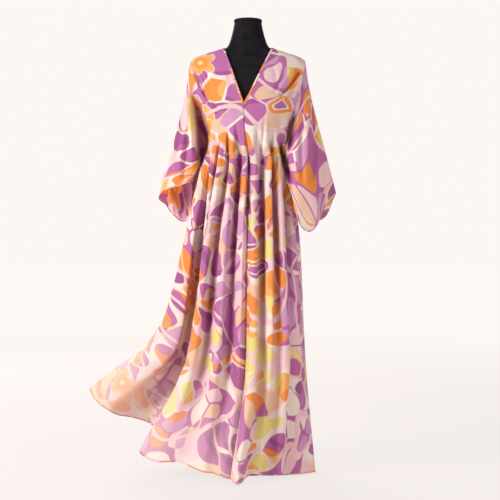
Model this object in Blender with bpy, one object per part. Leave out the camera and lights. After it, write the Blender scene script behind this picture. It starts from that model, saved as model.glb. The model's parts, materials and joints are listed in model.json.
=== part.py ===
"""A kaftan dress worn by a limbless dress form on its stand, at real size.

Metres, +Z up, the wearer faces -Y. The origin is on the floor, on the underside of the stand's foot,
under the form's axis. "right" and "left" in a name are the wearer's own.
"""

import math

import bpy
import numpy as np

# Cloth and seams
WALL = 0.0014
SEAM_GAP = 0.0003
SLEEVE_GAP = 0.0008
BINDING_WIDTH = 0.0055
BINDING_THICKNESS = 0.0008
BINDING_GAP = 0.0006
BINDING_STEPS = 3
# Columns of the front, and levels of the back neck, that the binding's lines run through
BINDING_COLUMNS = 4
NECK_LINE_LEVELS = 12

# Levels and points of the garment
WAIST_Z = 1.030
UNDERARM_Z = 1.062
TIP_Z = 1.362
SHOULDER_NECK_Z = 1.403
V_POINT = (-0.0130, 1.206)
# Where the centre front runs below the V, a row for each level: height, x
CENTRE_FRONT = (
    (1.030, 0.0020),
    (1.080, -0.0066),
    (1.130, -0.0105),
    (1.206, -0.0130),
)
# How far the armhole reaches to the front and to the back
ARMHOLE_FRONT = 0.036
ARMHOLE_BACK = 0.042

# Bust, on the form and in the cloth over it
BUST_HEIGHT = 0.010
BUST_Z = 1.205
BUST_SPREAD_Z = 0.050
BUST_X = 0.078
BUST_SPREAD_X = 0.045

# Gathers above the waist
GATHER_REACH = 0.120
GATHER_POWER = 1.6

# Stand
FOOT_RADIUS = 0.115
FOOT_THICKNESS = 0.010
STAND_Y = 0.045
STAND_EDGE = 0.002
POLE_RADIUS = 0.014
SOCKET_RADIUS = 0.024
SOCKET_HEIGHT = 0.050
ROUND_SIDES = 32
CAP_HEIGHT = 0.012
CAP_RIM = 0.0015
# Neck cap, a row for each level: share of its height, share of its half width
CAP_PROFILE = (
    (0.35, 1.0),
    (0.70, 0.93),
    (0.92, 0.70),
    (1.00, 0.35),
)

# Dress form, a row for each level: height, half width, depth in front, depth behind
FORM_SECTIONS = (
    (0.700, 0.122, 0.080, 0.086),
    (0.750, 0.134, 0.087, 0.096),
    (0.850, 0.139, 0.091, 0.099),
    (0.950, 0.122, 0.086, 0.087),
    (1.040, 0.104, 0.079, 0.076),
    (1.120, 0.112, 0.087, 0.082),
    (1.205, 0.130, 0.098, 0.089),
    (1.270, 0.148, 0.091, 0.090),
    (1.315, 0.167, 0.079, 0.084),
    (1.340, 0.178, 0.069, 0.077),
    (1.3554, 0.1795, 0.0570, 0.0660),
    (1.3634, 0.1755, 0.0520, 0.0620),
    (1.3699, 0.1650, 0.0480, 0.0590),
    (1.3771, 0.1480, 0.0455, 0.0570),
    (1.3853, 0.1225, 0.0440, 0.0560),
    (1.3929, 0.0990, 0.0435, 0.0550),
    (1.3992, 0.0780, 0.0435, 0.0540),
    (1.4120, 0.0650, 0.0440, 0.0525),
    (1.4320, 0.0575, 0.0460, 0.0520),
    (1.4600, 0.0500, 0.0450, 0.0480),
    (1.4850, 0.0450, 0.0430, 0.0440),
)

# Bodice cloth, a row for each level: height, middle, half width, depth in front, depth behind
BODICE_SECTIONS = (
    (1.0300, -0.0085, 0.1405, 0.1000, 0.0960),
    (1.0750, -0.0040, 0.1340, 0.1030, 0.0980),
    (1.1300, -0.0010, 0.1370, 0.1070, 0.0990),
    (1.2050, -0.0050, 0.1690, 0.1090, 0.1000),
    (1.2700, -0.0080, 0.1930, 0.1000, 0.0990),
    (1.3150, -0.0060, 0.1980, 0.0870, 0.0920),
    (1.3400, -0.0020, 0.1970, 0.0760, 0.0840),
    (1.3580, 0.0000, 0.1905, 0.0660, 0.0750),
    (1.3660, 0.0000, 0.1820, 0.0610, 0.0710),
    (1.3728, 0.0000, 0.1700, 0.0570, 0.0680),
    (1.3800, 0.0000, 0.1515, 0.0540, 0.0650),
    (1.3882, 0.0000, 0.1250, 0.0520, 0.0630),
    (1.3958, 0.0000, 0.1010, 0.0510, 0.0620),
    (1.4030, 0.0000, 0.0800, 0.0510, 0.0615),
)

# Folds of the front, a row for each ridge or valley from the right side seam to the left one: its angle
# and relief at the waist, where it passes at the knee, and where it ends at the hem
FRONT_FOLDS = (
    # waist_deg, relief, knee_x, knee_y, knee_z, hem_x, hem_y, hem_z
    (-90.0, 0.000, -0.292, 0.015, 0.487, -0.532, 0.050, 0.271),
    (-78.0, 0.003, -0.284, -0.040, 0.476, -0.510, 0.022, 0.238),
    (-67.0, 0.005, -0.224, -0.080, 0.452, -0.470, 0.012, 0.206),
    (-60.0, 0.000, -0.226, -0.032, 0.442, -0.432, 0.040, 0.182),
    (-54.0, -0.006, -0.204, 0.004, 0.428, -0.386, 0.066, 0.171),
    (-48.0, 0.005, -0.178, -0.012, 0.412, -0.338, 0.068, 0.154),
    (-42.5, -0.004, -0.166, -0.052, 0.405, -0.286, 0.030, 0.120),
    (-38.0, 0.001, -0.196, -0.100, 0.402, -0.351, -0.086, 0.087),
    (-33.5, 0.006, -0.178, -0.146, 0.395, -0.302, -0.132, 0.059),
    (-25.0, -0.006, -0.136, -0.126, 0.390, -0.216, -0.150, 0.057),
    (-17.0, 0.006, -0.099, -0.174, 0.388, -0.146, -0.190, 0.036),
    (-8.0, -0.006, -0.062, -0.144, 0.386, -0.108, -0.190, 0.030),
    (1.0, 0.005, -0.030, -0.176, 0.383, -0.080, -0.216, 0.022),
    (4.3, -0.004, -0.008, -0.160, 0.381, -0.056, -0.212, 0.016),
    (13.0, 0.006, 0.014, -0.198, 0.373, -0.031, -0.240, 0.004),
    (22.5, -0.006, 0.044, -0.164, 0.385, 0.004, -0.178, 0.022),
    (32.0, 0.006, 0.072, -0.180, 0.384, 0.036, -0.168, 0.020),
    (41.0, -0.006, 0.094, -0.157, 0.380, 0.064, -0.126, 0.012),
    (50.0, 0.006, 0.120, -0.164, 0.380, 0.103, -0.138, 0.015),
    (59.5, -0.005, 0.140, -0.126, 0.376, 0.126, -0.094, 0.008),
    (69.0, 0.005, 0.162, -0.112, 0.378, 0.166, -0.092, 0.010),
    (79.0, -0.003, 0.176, -0.064, 0.374, 0.190, -0.045, 0.004),
    (90.0, 0.000, 0.190, -0.010, 0.374, 0.222, -0.024, 0.005),
)
CENTRE_ROW = 13
KNEE_SHARE = 0.64
HIP_SHARE = 0.25
# How much of its way out to the knee a fold has gone at the hip, at the right side and at the left
HIP_OUT_RIGHT = 0.33
HIP_OUT_LEFT = 0.67

# Folds of the back, a row for each ridge or valley from the left side seam to the right one: its share of
# the way round, then its relief at the waist, the knee and the hem
BACK_FOLDS = (
    # share, waist_relief, knee_relief, hem_relief
    (0.070, -0.003, -0.008, -0.012),
    (0.140, 0.006, 0.016, 0.020),
    (0.215, -0.006, -0.016, -0.020),
    (0.290, 0.004, 0.018, 0.024),
    (0.365, -0.006, -0.018, -0.018),
    (0.435, 0.006, 0.014, 0.018),
    (0.505, -0.006, -0.016, -0.024),
    (0.580, 0.006, 0.020, 0.028),
    (0.645, -0.006, -0.018, -0.022),
    (0.710, 0.004, 0.016, 0.024),
    (0.800, -0.006, -0.018, -0.030),
    (0.870, 0.006, 0.020, 0.030),
    (0.940, -0.003, -0.010, -0.014),
)
# The fold that starts at the neck's left corner
NECK_FOLD = 3
BACK_KNEE_DEPTH = 0.185
BACK_HEM_DEPTH = 0.235
BACK_LIFT_POWER = 2.4

# Cuffs, a row for each turn of the edge from the underarm round the front, the top and the back: its share
# of the way round, then its place
RIGHT_CUFF = (
    # share, x, y, z
    (0.00, -0.187, -0.006, 0.955),
    (0.09, -0.196, -0.042, 0.955),
    (0.19, -0.226, -0.050, 0.944),
    (0.30, -0.258, -0.047, 0.936),
    (0.42, -0.286, -0.022, 0.922),
    (0.50, -0.297, 0.012, 0.906),
    (0.60, -0.275, 0.044, 0.886),
    (0.67, -0.262, 0.052, 0.866),
    (0.77, -0.226, 0.068, 0.832),
    (0.87, -0.199, 0.056, 0.846),
    (0.94, -0.189, 0.026, 0.900),
)
LEFT_CUFF = (
    # share, x, y, z
    (0.00, 0.178, -0.034, 0.940),
    (0.08, 0.158, -0.082, 0.915),
    (0.16, 0.150, -0.104, 0.870),
    (0.24, 0.170, -0.114, 0.812),
    (0.31, 0.197, -0.102, 0.794),
    (0.37, 0.222, -0.082, 0.812),
    (0.43, 0.248, -0.048, 0.868),
    (0.52, 0.291, -0.004, 0.922),
    (0.62, 0.281, 0.032, 0.895),
    (0.72, 0.262, 0.050, 0.850),
    (0.84, 0.226, 0.054, 0.838),
    (0.93, 0.194, 0.022, 0.885),
)
# How the sleeve leaves the armhole, outwards and downwards, at the underarm and at the top
SLEEVE_LEAVES_UNDERARM = (0.020, 0.110)
SLEEVE_LEAVES_TOP = (0.050, 0.420)
SLEEVE_ARRIVAL = 0.9

# Mesh steps
FOLD_STEPS = 2
YOKE_ROWS = 14
# Share of a half turn over which the yoke's rows spread, closest together at the shoulder
YOKE_TURN = 0.8
BODICE_ROWS = 2
SKIRT_ROWS = 16
SLEEVE_ROWS = 11
FORM_SIDES = 32
# Sections of the form further apart than this get one more between them
FORM_STEP = 0.03
SHARP_DEG = 50.0
# How near the neck's corner a point counts as on it
CORNER_REACH = 1e-4
SHOULDER_LEVELS = 60
# The x of the line that the panels' outer faces look away from
PANEL_MIDDLE_X = -0.02

# Materials: name, colour, roughness, metallic
PRINTED_VOILE = ("printed_cotton_voile", (0.53, 0.22, 0.44, 1.0), 0.80, 0.0)
BINDING_VOILE = ("printed_voile_binding", (0.62, 0.30, 0.50, 1.0), 0.80, 0.0)
BLACK_JERSEY = ("black_jersey", (0.010, 0.009, 0.011, 1.0), 0.95, 0.0)
BLACK_STEEL = ("black_painted_steel", (0.02, 0.02, 0.02, 1.0), 0.45, 0.6)


def clear_scene():
    for obj in list(bpy.data.objects):
        bpy.data.objects.remove(obj)


def material(recipe):
    name, colour, roughness, metallic = recipe
    made = bpy.data.materials.get(name)
    if made is None:
        made = bpy.data.materials.new(name)
        made.use_nodes = True
        shader = made.node_tree.nodes["Principled BSDF"]
        shader.inputs["Base Color"].default_value = colour
        shader.inputs["Roughness"].default_value = roughness
        shader.inputs["Metallic"].default_value = metallic
        made.diffuse_color = colour
    return made


def run_through(places, values):
    """A function of place that runs smoothly through each row of values, with no overshoot between them."""
    x = np.asarray(places, float)
    y = np.asarray(values, float)
    flat = y.reshape(len(x), -1)
    slope = np.diff(flat, axis=0) / np.diff(x)[:, None]
    tangent = np.empty_like(flat)
    tangent[0] = slope[0]
    tangent[-1] = slope[-1]
    same_way = slope[:-1] * slope[1:] > 0
    total = np.where(same_way, slope[:-1] + slope[1:], 1.0)
    tangent[1:-1] = np.where(same_way, 2 * slope[:-1] * slope[1:] / total, 0.0)

    def at(place):
        place = np.clip(np.asarray(place, float), x[0], x[-1])
        i = np.clip(np.searchsorted(x, place, side="right") - 1, 0, len(x) - 2)
        h = (x[i + 1] - x[i])[..., None]
        t = (place - x[i])[..., None] / h
        blended = (
            (1 + 2 * t) * (1 - t) ** 2 * flat[i]
            + t * (1 - t) ** 2 * h * tangent[i]
            + t * t * (3 - 2 * t) * flat[i + 1]
            + t * t * (t - 1) * h * tangent[i + 1]
        )
        return blended.reshape(place.shape + y.shape[1:])

    return at


def unit(vectors):
    return vectors / np.maximum(np.linalg.norm(vectors, axis=-1, keepdims=True), 1e-12)


def gauss(value):
    return np.exp(-value * value)


form_size = run_through([row[0] for row in FORM_SECTIONS], [row[1:] for row in FORM_SECTIONS])
bodice_size = run_through([row[0] for row in BODICE_SECTIONS], [row[1:] for row in BODICE_SECTIONS])
centre_front_x = run_through([row[0] for row in CENTRE_FRONT], [row[1] for row in CENTRE_FRONT])


def bust(x, z):
    """How far the bust stands forward at a place seen from the front."""
    level = gauss((z - BUST_Z) / BUST_SPREAD_Z)
    return BUST_HEIGHT * level * (gauss((x - BUST_X) / BUST_SPREAD_X) + gauss((x + BUST_X) / BUST_SPREAD_X))


def cloth_depth(x, z, side):
    """y of the bodice cloth at a place seen from the front (side -1) or the back (side +1)."""
    middle, half, front, back = np.moveaxis(bodice_size(z), -1, 0)
    depth = front if side < 0 else back
    rise = np.sqrt(np.clip(1.0 - ((x - middle) / half) ** 2, 0.0, 1.0))
    y = side * depth * rise
    if side < 0:
        y = y - bust(x, z) * rise
    return y


def seam_x(z, hand):
    """x of the shoulder seam, or of the side seam lower down; hand is -1 for the wearer's right."""
    middle, half = np.moveaxis(bodice_size(z), -1, 0)[:2]
    return middle + hand * half


def shoulder_z(x):
    """Height of the shoulder seam over a distance x from the middle."""
    levels = np.linspace(TIP_Z, SHOULDER_NECK_Z, SHOULDER_LEVELS)
    widths = np.abs(seam_x(levels, 1))
    return np.interp(-np.abs(x), -widths, levels)


def armhole_edge(t, hand, side):
    """x and z of the armhole's edge, an oval from the shoulder tip (t 0) to the underarm (t 1)."""
    z = TIP_Z + (UNDERARM_Z - TIP_Z) * t
    middle, half, front, back = np.moveaxis(bodice_size(z), -1, 0)
    reach, depth = (ARMHOLE_FRONT, front) if side < 0 else (ARMHOLE_BACK, back)
    y = reach * 2.0 * np.sqrt(t * (1.0 - t))
    return middle + hand * half * np.sqrt(1.0 - (y / depth) ** 2), z


def neck_edge(t, hand):
    """x and z of the front's inner edge: down the V, then down the centre front to the underarm's level."""
    z = SHOULDER_NECK_Z + (UNDERARM_Z - SHOULDER_NECK_Z) * t
    neck_x = float(seam_x(SHOULDER_NECK_Z, hand))
    down_the_v = np.clip((SHOULDER_NECK_Z - z) / (SHOULDER_NECK_Z - V_POINT[1]), 0.0, 1.0)
    x = neck_x + (V_POINT[0] - neck_x) * down_the_v
    return np.where(z >= V_POINT[1], x, centre_front_x(z)), z


def yoke_patch(shares, top, left, right, side):
    """The cloth above the underarm, spread evenly between its four edges.

    top gives x and z for each share, left and right give x and z for each row. The rows lie closer together
    near the shoulder, where the cloth turns over it.
    """
    turn = np.arange(YOKE_ROWS + 1) / YOKE_ROWS * math.pi * YOKE_TURN
    t = ((1 - np.cos(turn)) / (1 - math.cos(math.pi * YOKE_TURN)))[:, None]
    u = shares[None, :]
    left_x, left_z = (value for value in left(t))
    right_x, right_z = (value for value in right(t))
    top_x, top_z = (value[None, :] for value in top(shares))
    bottom_x, bottom_z = row_at(shares, UNDERARM_Z, left_x[-1, 0], right_x[-1, 0])
    grid = []
    for a, b, c, d in ((left_x, right_x, top_x, bottom_x), (left_z, right_z, top_z, bottom_z)):
        corners = (1 - u) * (1 - t) * a[0] + u * (1 - t) * b[0] + (1 - u) * t * a[-1] + u * t * b[-1]
        grid.append((1 - u) * a + u * b + (1 - t) * c + t * d - corners)
    x, z = grid
    return np.stack([x, cloth_depth(x, z, side), z], axis=-1)


def row_at(shares, z, from_x, to_x):
    """x and z of a level row between two edges, spread evenly by angle."""
    middle, half = bodice_size(z)[..., :2]
    start, end = np.arcsin(np.clip((np.array([from_x, to_x]) - middle) / half, -1.0, 1.0))
    return middle + half * np.sin(start + (end - start) * shares), np.full(shares.shape, float(z))


def bodice_rows(shares, inner_x, outer_hand, inner_hand, side):
    """The rows from under the arm to above the waist."""
    rows = []
    for j in range(1, BODICE_ROWS + 1):
        z = UNDERARM_Z + (WAIST_Z - UNDERARM_Z) * j / BODICE_ROWS
        outer = float(seam_x(z, outer_hand))
        inner = float(inner_x(z)) if inner_x else float(seam_x(z, inner_hand))
        x, level = row_at(shares, z, outer, inner)
        rows.append(np.stack([x, cloth_depth(x, level, side), level], axis=-1))
    return np.stack(rows)


def add_gathers(points, relief):
    """Ripple the cloth above the waist where the folds begin."""
    fade = np.clip(1.0 - (points[..., 2] - WAIST_Z) / GATHER_REACH, 0.0, 1.0) ** GATHER_POWER
    outward = unit(points * np.array([1.0, 1.0, 0.0]))
    return points + outward * (fade * relief[None, :])[..., None]


def fold_path(waist, knee, hem, hip_out):
    """Rows of points down a fold, from the waist to the hem."""
    hip = waist + (knee - waist) * np.array([hip_out, hip_out, HIP_SHARE / KNEE_SHARE])
    path = run_through([0.0, HIP_SHARE, KNEE_SHARE, 1.0], [waist, hip, knee, hem])
    return path(np.arange(1, SKIRT_ROWS + 1) / SKIRT_ROWS)


def spread_steps(control, steps):
    """Points between the folds: a smooth curve through each row of fold points, open at its ends."""
    ahead = np.diff(control, axis=1)
    length = np.linalg.norm(ahead, axis=-1, keepdims=True)
    through = unit(control[:, 2:] - control[:, :-2])
    tangent = np.concatenate([unit(ahead[:, :1]), through, unit(ahead[:, -1:])], axis=1)
    pieces = []
    for k in range(steps):
        t = k / steps
        pieces.append(
            (1 + 2 * t) * (1 - t) ** 2 * control[:, :-1]
            + t * (1 - t) ** 2 * tangent[:, :-1] * length
            + t * t * (3 - 2 * t) * control[:, 1:]
            + t * t * (t - 1) * tangent[:, 1:] * length
        )
    between = np.stack(pieces, axis=2).reshape(control.shape[0], -1, 3)
    return np.concatenate([between, control[:, -1:]], axis=1)


def front_panel(first, last, hand):
    """Fold points of one front, from its side seam to the centre front."""
    order = range(first, last + 1) if hand < 0 else range(last, first - 1, -1)
    folds = [FRONT_FOLDS[k] for k in order]
    angles = np.array([fold[0] for fold in folds])
    relief = np.array([fold[1] for fold in folds])
    shares = (angles - angles[0]) / (angles[-1] - angles[0])
    side_x = hand * abs(float(seam_x(TIP_Z, 1)))
    neck_x = float(seam_x(SHOULDER_NECK_Z, hand))

    def top(share):
        x = side_x + (neck_x - side_x) * share
        return x, shoulder_z(x)

    yoke = yoke_patch(
        shares,
        top,
        lambda t: armhole_edge(t, hand, -1),
        lambda t: neck_edge(t, hand),
        -1,
    )
    above = np.concatenate([yoke, bodice_rows(shares, centre_front_x, hand, None, -1)])
    above = add_gathers(above, relief)
    skirt = []
    for column, fold in enumerate(folds):
        out = HIP_OUT_RIGHT + (HIP_OUT_LEFT - HIP_OUT_RIGHT) * (fold[0] + 90.0) / 180.0
        skirt.append(fold_path(above[-1, column], np.array(fold[2:5]), np.array(fold[5:8]), out))
    return np.concatenate([above, np.stack(skirt, axis=1)])


def back_skirt_row(shares, relief, start, end, depth):
    """A level of the back skirt: from one side seam round to the other, with its folds' relief."""
    turn = math.pi * shares
    x = (start[0] + end[0]) / 2 + (start[0] - end[0]) / 2 * np.cos(turn)
    y = start[1] + (end[1] - start[1]) * shares + depth * np.sin(turn)
    lift = ((1 - np.cos(turn)) / 2) ** BACK_LIFT_POWER
    z = start[2] + (end[2] - start[2]) * lift
    across = (start[0] - end[0]) / 2
    outward = unit(np.stack([np.cos(turn) * depth, np.sin(turn) * across, 0 * turn], axis=-1))
    return np.stack([x, y, z], axis=-1) + outward * relief[:, None]


def back_panel():
    """Fold points of the back, from the left side seam round to the right one."""
    left, right = FRONT_FOLDS[-1], FRONT_FOLDS[0]
    rows = [(0.0, 0.0, 0.0, 0.0), *BACK_FOLDS, (1.0, 0.0, 0.0, 0.0)]
    shares, waist_relief, knee_relief, hem_relief = np.array(rows).T
    tip_x = abs(float(seam_x(TIP_Z, 1)))
    neck_x = float(seam_x(SHOULDER_NECK_Z, 1))
    neck_share = BACK_FOLDS[NECK_FOLD][0]

    def top(share):
        corners = [0.0, neck_share, 1.0 - neck_share, 1.0]
        shoulder = np.interp(share, corners, [tip_x, neck_x, -neck_x, -tip_x])
        turn = np.clip((share - neck_share) / (1.0 - 2 * neck_share), 0.0, 1.0) * math.pi
        across = np.where(np.abs(np.cos(turn)) < 1.0, neck_x * np.cos(turn), shoulder)
        return across, np.where(np.abs(across) < neck_x, SHOULDER_NECK_Z, shoulder_z(across))

    yoke = yoke_patch(
        shares,
        top,
        lambda t: armhole_edge(t, 1, 1),
        lambda t: armhole_edge(t, -1, 1),
        1,
    )
    above = add_gathers(np.concatenate([yoke, bodice_rows(shares, None, 1, -1, 1)]), waist_relief)
    knee = back_skirt_row(shares, knee_relief, np.array(left[2:5]), np.array(right[2:5]), BACK_KNEE_DEPTH)
    hem = back_skirt_row(shares, hem_relief, np.array(left[5:8]), np.array(right[5:8]), BACK_HEM_DEPTH)
    skirt = []
    for column, share in enumerate(shares):
        out = HIP_OUT_LEFT + (HIP_OUT_RIGHT - HIP_OUT_LEFT) * share
        skirt.append(fold_path(above[-1, column], knee[column], hem[column], out))
    return np.concatenate([above, np.stack(skirt, axis=1)])


def surface_normals(points, closed):
    """Unit normals of a grid of points, halving the angle of each fold; closed: its columns run all round."""
    if closed:
        wrapped = np.concatenate([points, points[:, :1]], axis=1)
    else:
        wrapped = points
    rising = wrapped[1:, 1:] - wrapped[:-1, :-1]
    falling = wrapped[1:, :-1] - wrapped[:-1, 1:]
    facets = unit(np.cross(rising, falling))
    facets = np.concatenate([facets[:1], facets, facets[-1:]])
    if closed:
        before = np.roll(facets, 1, axis=1)
    else:
        before = np.concatenate([facets[:, :1], facets], axis=1)
        facets = np.concatenate([facets, facets[:, -1:]], axis=1)
    return unit(facets[1:] + facets[:-1] + before[1:] + before[:-1])


def facing(points, normals, centre):
    """The normals, turned if needed so that they point away from the centre."""
    outward = np.sum(normals * (points - centre))
    return normals if outward > 0 else -normals


def halves(quad, vertices):
    """The two triangles of a four-cornered face, parted along its shorter diagonal."""
    a, b, c, d = quad
    if np.linalg.norm(vertices[a] - vertices[c]) <= np.linalg.norm(vertices[b] - vertices[d]):
        return [a, b, c], [a, c, d]
    return [a, b, d], [b, c, d]


def walled(name, outer, normals, wall, closed, recipe):
    """A closed wall of cloth: the outer grid, and the same grid moved inwards along the normals."""
    inner = outer - normals * wall
    rows, columns = outer.shape[:2]
    count = rows * columns
    vertices = np.concatenate([outer.reshape(-1, 3), inner.reshape(-1, 3)])
    steps = columns if closed else columns - 1

    def at(row, column):
        return row * columns + column % columns

    faces = []
    for row in range(rows - 1):
        for column in range(steps):
            quad = [at(row, column), at(row + 1, column), at(row + 1, column + 1), at(row, column + 1)]
            for triangle in halves(quad, vertices):
                faces.append(triangle)
                faces.append([count + corner for corner in reversed(triangle)])
    for row, turn in ((0, 1), (rows - 1, -1)):
        for column in range(steps):
            a, b = at(row, column), at(row, column + 1)
            faces.append([a, b, count + b, count + a][::turn])
    if not closed:
        for column, turn in ((0, -1), (columns - 1, 1)):
            for row in range(rows - 1):
                a, b = at(row, column), at(row + 1, column)
                faces.append([a, b, count + b, count + a][::turn])
    middle_row, middle_column = rows // 2, columns // 3
    corner = outer[middle_row, middle_column]
    first = np.cross(
        outer[middle_row + 1, middle_column] - corner, outer[middle_row + 1, middle_column + 1] - corner
    )
    if np.dot(first, normals[middle_row, middle_column]) < 0:
        faces = [face[::-1] for face in faces]
    return mesh_object(name, vertices, faces, recipe)


def mesh_object(name, vertices, faces, recipe):
    mesh = bpy.data.meshes.new(name)
    mesh.from_pydata([tuple(map(float, vertex)) for vertex in vertices], [], faces)
    mesh.shade_smooth()
    mesh.set_sharp_from_angle(angle=math.radians(SHARP_DEG))
    mesh.materials.append(material(recipe))
    obj = bpy.data.objects.new(name, mesh)
    bpy.context.scene.collection.objects.link(obj)
    return obj


def seam_together(first, first_edge, second, second_edge, rows):
    """Give two panels' edges the same wall direction along their seam, and part them by the seam's gap."""
    shared = unit(first["normals"][rows, first_edge] + second["normals"][rows, second_edge])
    for panel, edge in ((first, first_edge), (second, second_edge)):
        panel["normals"][rows, edge] = shared
        inside = edge + 1 if edge == 0 else edge - 1
        away = unit(panel["points"][rows, inside] - panel["points"][rows, edge])
        away = unit(away - shared * np.sum(away * shared, axis=-1, keepdims=True))
        panel["points"][rows, edge] += away * SEAM_GAP / 2


def shoulder_seam(panel, columns, side):
    """Stand the shoulder's edge upright, just in front of or behind the top of the shoulder."""
    panel["normals"][0, columns, 1] = 0.0
    panel["normals"][0, columns] = unit(panel["normals"][0, columns])
    panel["points"][0, columns, 1] = side * SEAM_GAP / 2


def make_panel(control):
    points = spread_steps(control, FOLD_STEPS)
    normals = surface_normals(points, closed=False)
    centre = points * np.array([0.0, 0.0, 1.0]) + np.array([PANEL_MIDDLE_X, 0.0, 0.0])
    return {"points": points, "normals": facing(points, normals, centre), "plain": points.copy()}


def through_cuff(cuff, shares):
    """Places on the cuff's edge at shares of the way round it."""
    rows = np.array(cuff)
    places = np.concatenate([rows[:, 0] - 1.0, rows[:, 0], rows[:, 0] + 1.0])
    values = np.concatenate([rows[:, 1:]] * 3)
    slope = np.gradient(values, places, axis=0)
    i = np.searchsorted(places, shares, side="right") - 1
    h = (places[i + 1] - places[i])[:, None]
    t = (shares - places[i])[:, None] / h
    return (
        (1 + 2 * t) * (1 - t) ** 2 * values[i]
        + t * (1 - t) ** 2 * h * slope[i]
        + t * t * (3 - 2 * t) * values[i + 1]
        + t * t * (t - 1) * h * slope[i + 1]
    )


def sleeve_points(front, front_edge, back, back_edge, cuff, hand):
    """The sleeve's outer grid: from the armhole that the panels leave to the cuff."""
    front_rows = front["plain"][: YOKE_ROWS + 1, front_edge][::-1]
    back_rows = back["plain"][1:YOKE_ROWS, back_edge]
    armhole = np.concatenate([front_rows, back_rows]) + np.array([hand * SLEEVE_GAP, 0.0, 0.0])
    shares = np.arange(len(armhole)) / len(armhole)
    end = through_cuff(cuff, shares)
    up = (1 - np.cos(2 * math.pi * shares)) / 2
    outwards = SLEEVE_LEAVES_UNDERARM[0] + (SLEEVE_LEAVES_TOP[0] - SLEEVE_LEAVES_UNDERARM[0]) * up
    downwards = SLEEVE_LEAVES_UNDERARM[1] + (SLEEVE_LEAVES_TOP[1] - SLEEVE_LEAVES_UNDERARM[1]) * up
    leaving = np.stack([hand * outwards, 0 * outwards, -downwards], axis=-1)
    arriving = (end - armhole) * SLEEVE_ARRIVAL
    rows = []
    for j in range(SLEEVE_ROWS + 1):
        t = j / SLEEVE_ROWS
        rows.append(
            (1 + 2 * t) * (1 - t) ** 2 * armhole
            + t * (1 - t) ** 2 * leaving
            + t * t * (3 - 2 * t) * end
            + t * t * (t - 1) * arriving
        )
    return np.stack(rows)


def make_sleeve(front, front_edge, back, back_edge, cuff, hand):
    """The sleeve's grid, with its wall at the armhole turned the same way as the panels' walls beside it."""
    points = sleeve_points(front, front_edge, back, back_edge, cuff, hand)
    normals = surface_normals(points, closed=True)
    normals = facing(points, normals, points.mean(axis=1, keepdims=True))
    tip = YOKE_ROWS
    for panel, edge in ((front, front_edge), (back, back_edge)):
        for row in range(YOKE_ROWS):
            column = tip - row if panel is front else tip + row
            own, beside = normals[0, column], panel["normals"][row, edge]
            if np.dot(own, beside) > 0:
                shared = unit(own + beside)
                if row == 0:
                    shared = unit(shared * np.array([1.0, 0.0, 1.0]))
                normals[0, column] = shared
                panel["normals"][row, edge] = shared
    return {"points": points, "normals": normals}


def edge_strip(lines):
    """A strip's points, read off at even distances along lines that run into the panel from its edge."""
    reach = BINDING_WIDTH * np.arange(BINDING_STEPS + 1) / BINDING_STEPS
    strip = []
    for line in lines:
        length = np.concatenate([[0.0], np.cumsum(np.linalg.norm(np.diff(line, axis=0), axis=-1))])
        strip.append(np.stack([np.interp(reach, length, line[:, axis]) for axis in range(3)], axis=-1))
    return np.stack(strip)


def neck_line(point):
    """A line down the cloth from a point of the back neck, square to the neck's edge."""
    middle, half, _, depth = bodice_size(point[2])
    turn = math.atan2(point[1] / depth, (point[0] - middle) / half)
    levels = point[2] - np.linspace(0.0, 2 * BINDING_WIDTH, NECK_LINE_LEVELS)
    middle, half, _, depth = np.moveaxis(bodice_size(levels), -1, 0)
    return np.stack([middle + half * math.cos(turn), depth * math.sin(turn), levels], axis=-1)


def make_binding(right, left, back, v_row, neck_columns):
    """The narrow strip on the neck's edge: up the right front, round the back, down the left front."""
    up = np.arange(v_row, -1, -1)[:, None]
    beside = -1 - np.arange(BINDING_COLUMNS)
    runs = (
        edge_strip(right["points"][up, beside]),
        edge_strip([neck_line(point) for point in back["points"][0, neck_columns[::-1]]]),
        edge_strip(left["points"][up[::-1], beside]),
    )
    points = np.concatenate(runs)
    normals = surface_normals(points, closed=False)
    normals = facing(points, normals, np.array([0.0, 0.0, V_POINT[1]]))
    outer = points + normals * (BINDING_GAP + BINDING_THICKNESS)
    walled("neck_binding", outer, normals, BINDING_THICKNESS, False, BINDING_VOILE)


def ring(z, half_width, front, back, sides, y=0.0):
    angles = 2 * math.pi * np.arange(sides) / sides
    depth = np.where(np.sin(angles) < 0, front, back)
    return np.stack([half_width * np.cos(angles), y + depth * np.sin(angles), np.full(sides, z)], axis=-1)


def turned(name, rings, recipe):
    """A closed solid through rings of equal count, lowest first, with flat ends."""
    sides = len(rings[0])
    vertices = np.concatenate(rings)
    faces = [list(range(sides))[::-1]]
    for level in range(len(rings) - 1):
        for side in range(sides):
            after = (side + 1) % sides
            low, high = level * sides, (level + 1) * sides
            faces.append([low + side, low + after, high + after, high + side])
    top = (len(rings) - 1) * sides
    faces.append([top + side for side in range(sides)])
    return mesh_object(name, vertices, faces, recipe)


def make_form():
    levels = [row[0] for row in FORM_SECTIONS]
    between = [(low + high) / 2 for low, high in zip(levels, levels[1:]) if high - low > FORM_STEP]
    rings = []
    for z in sorted(levels + between):
        half, front, back = form_size(z)
        points = ring(z, half, front, back, FORM_SIDES)
        in_front = np.clip(-points[:, 1] / front, 0.0, 1.0)
        points[:, 1] -= bust(points[:, 0], z) * in_front
        rings.append(points)
    turned("dress_form", rings, BLACK_JERSEY)
    half, front, back = form_size(levels[-1])
    base = levels[-1] + SEAM_GAP
    cap = [ring(base, half + CAP_RIM, front + CAP_RIM, back + CAP_RIM, FORM_SIDES)]
    for rise, share in CAP_PROFILE:
        size = [share * (value + CAP_RIM) for value in (half, front, back)]
        cap.append(ring(base + rise * CAP_HEIGHT, *size, FORM_SIDES))
    turned("neck_cap", cap, BLACK_JERSEY)


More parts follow.
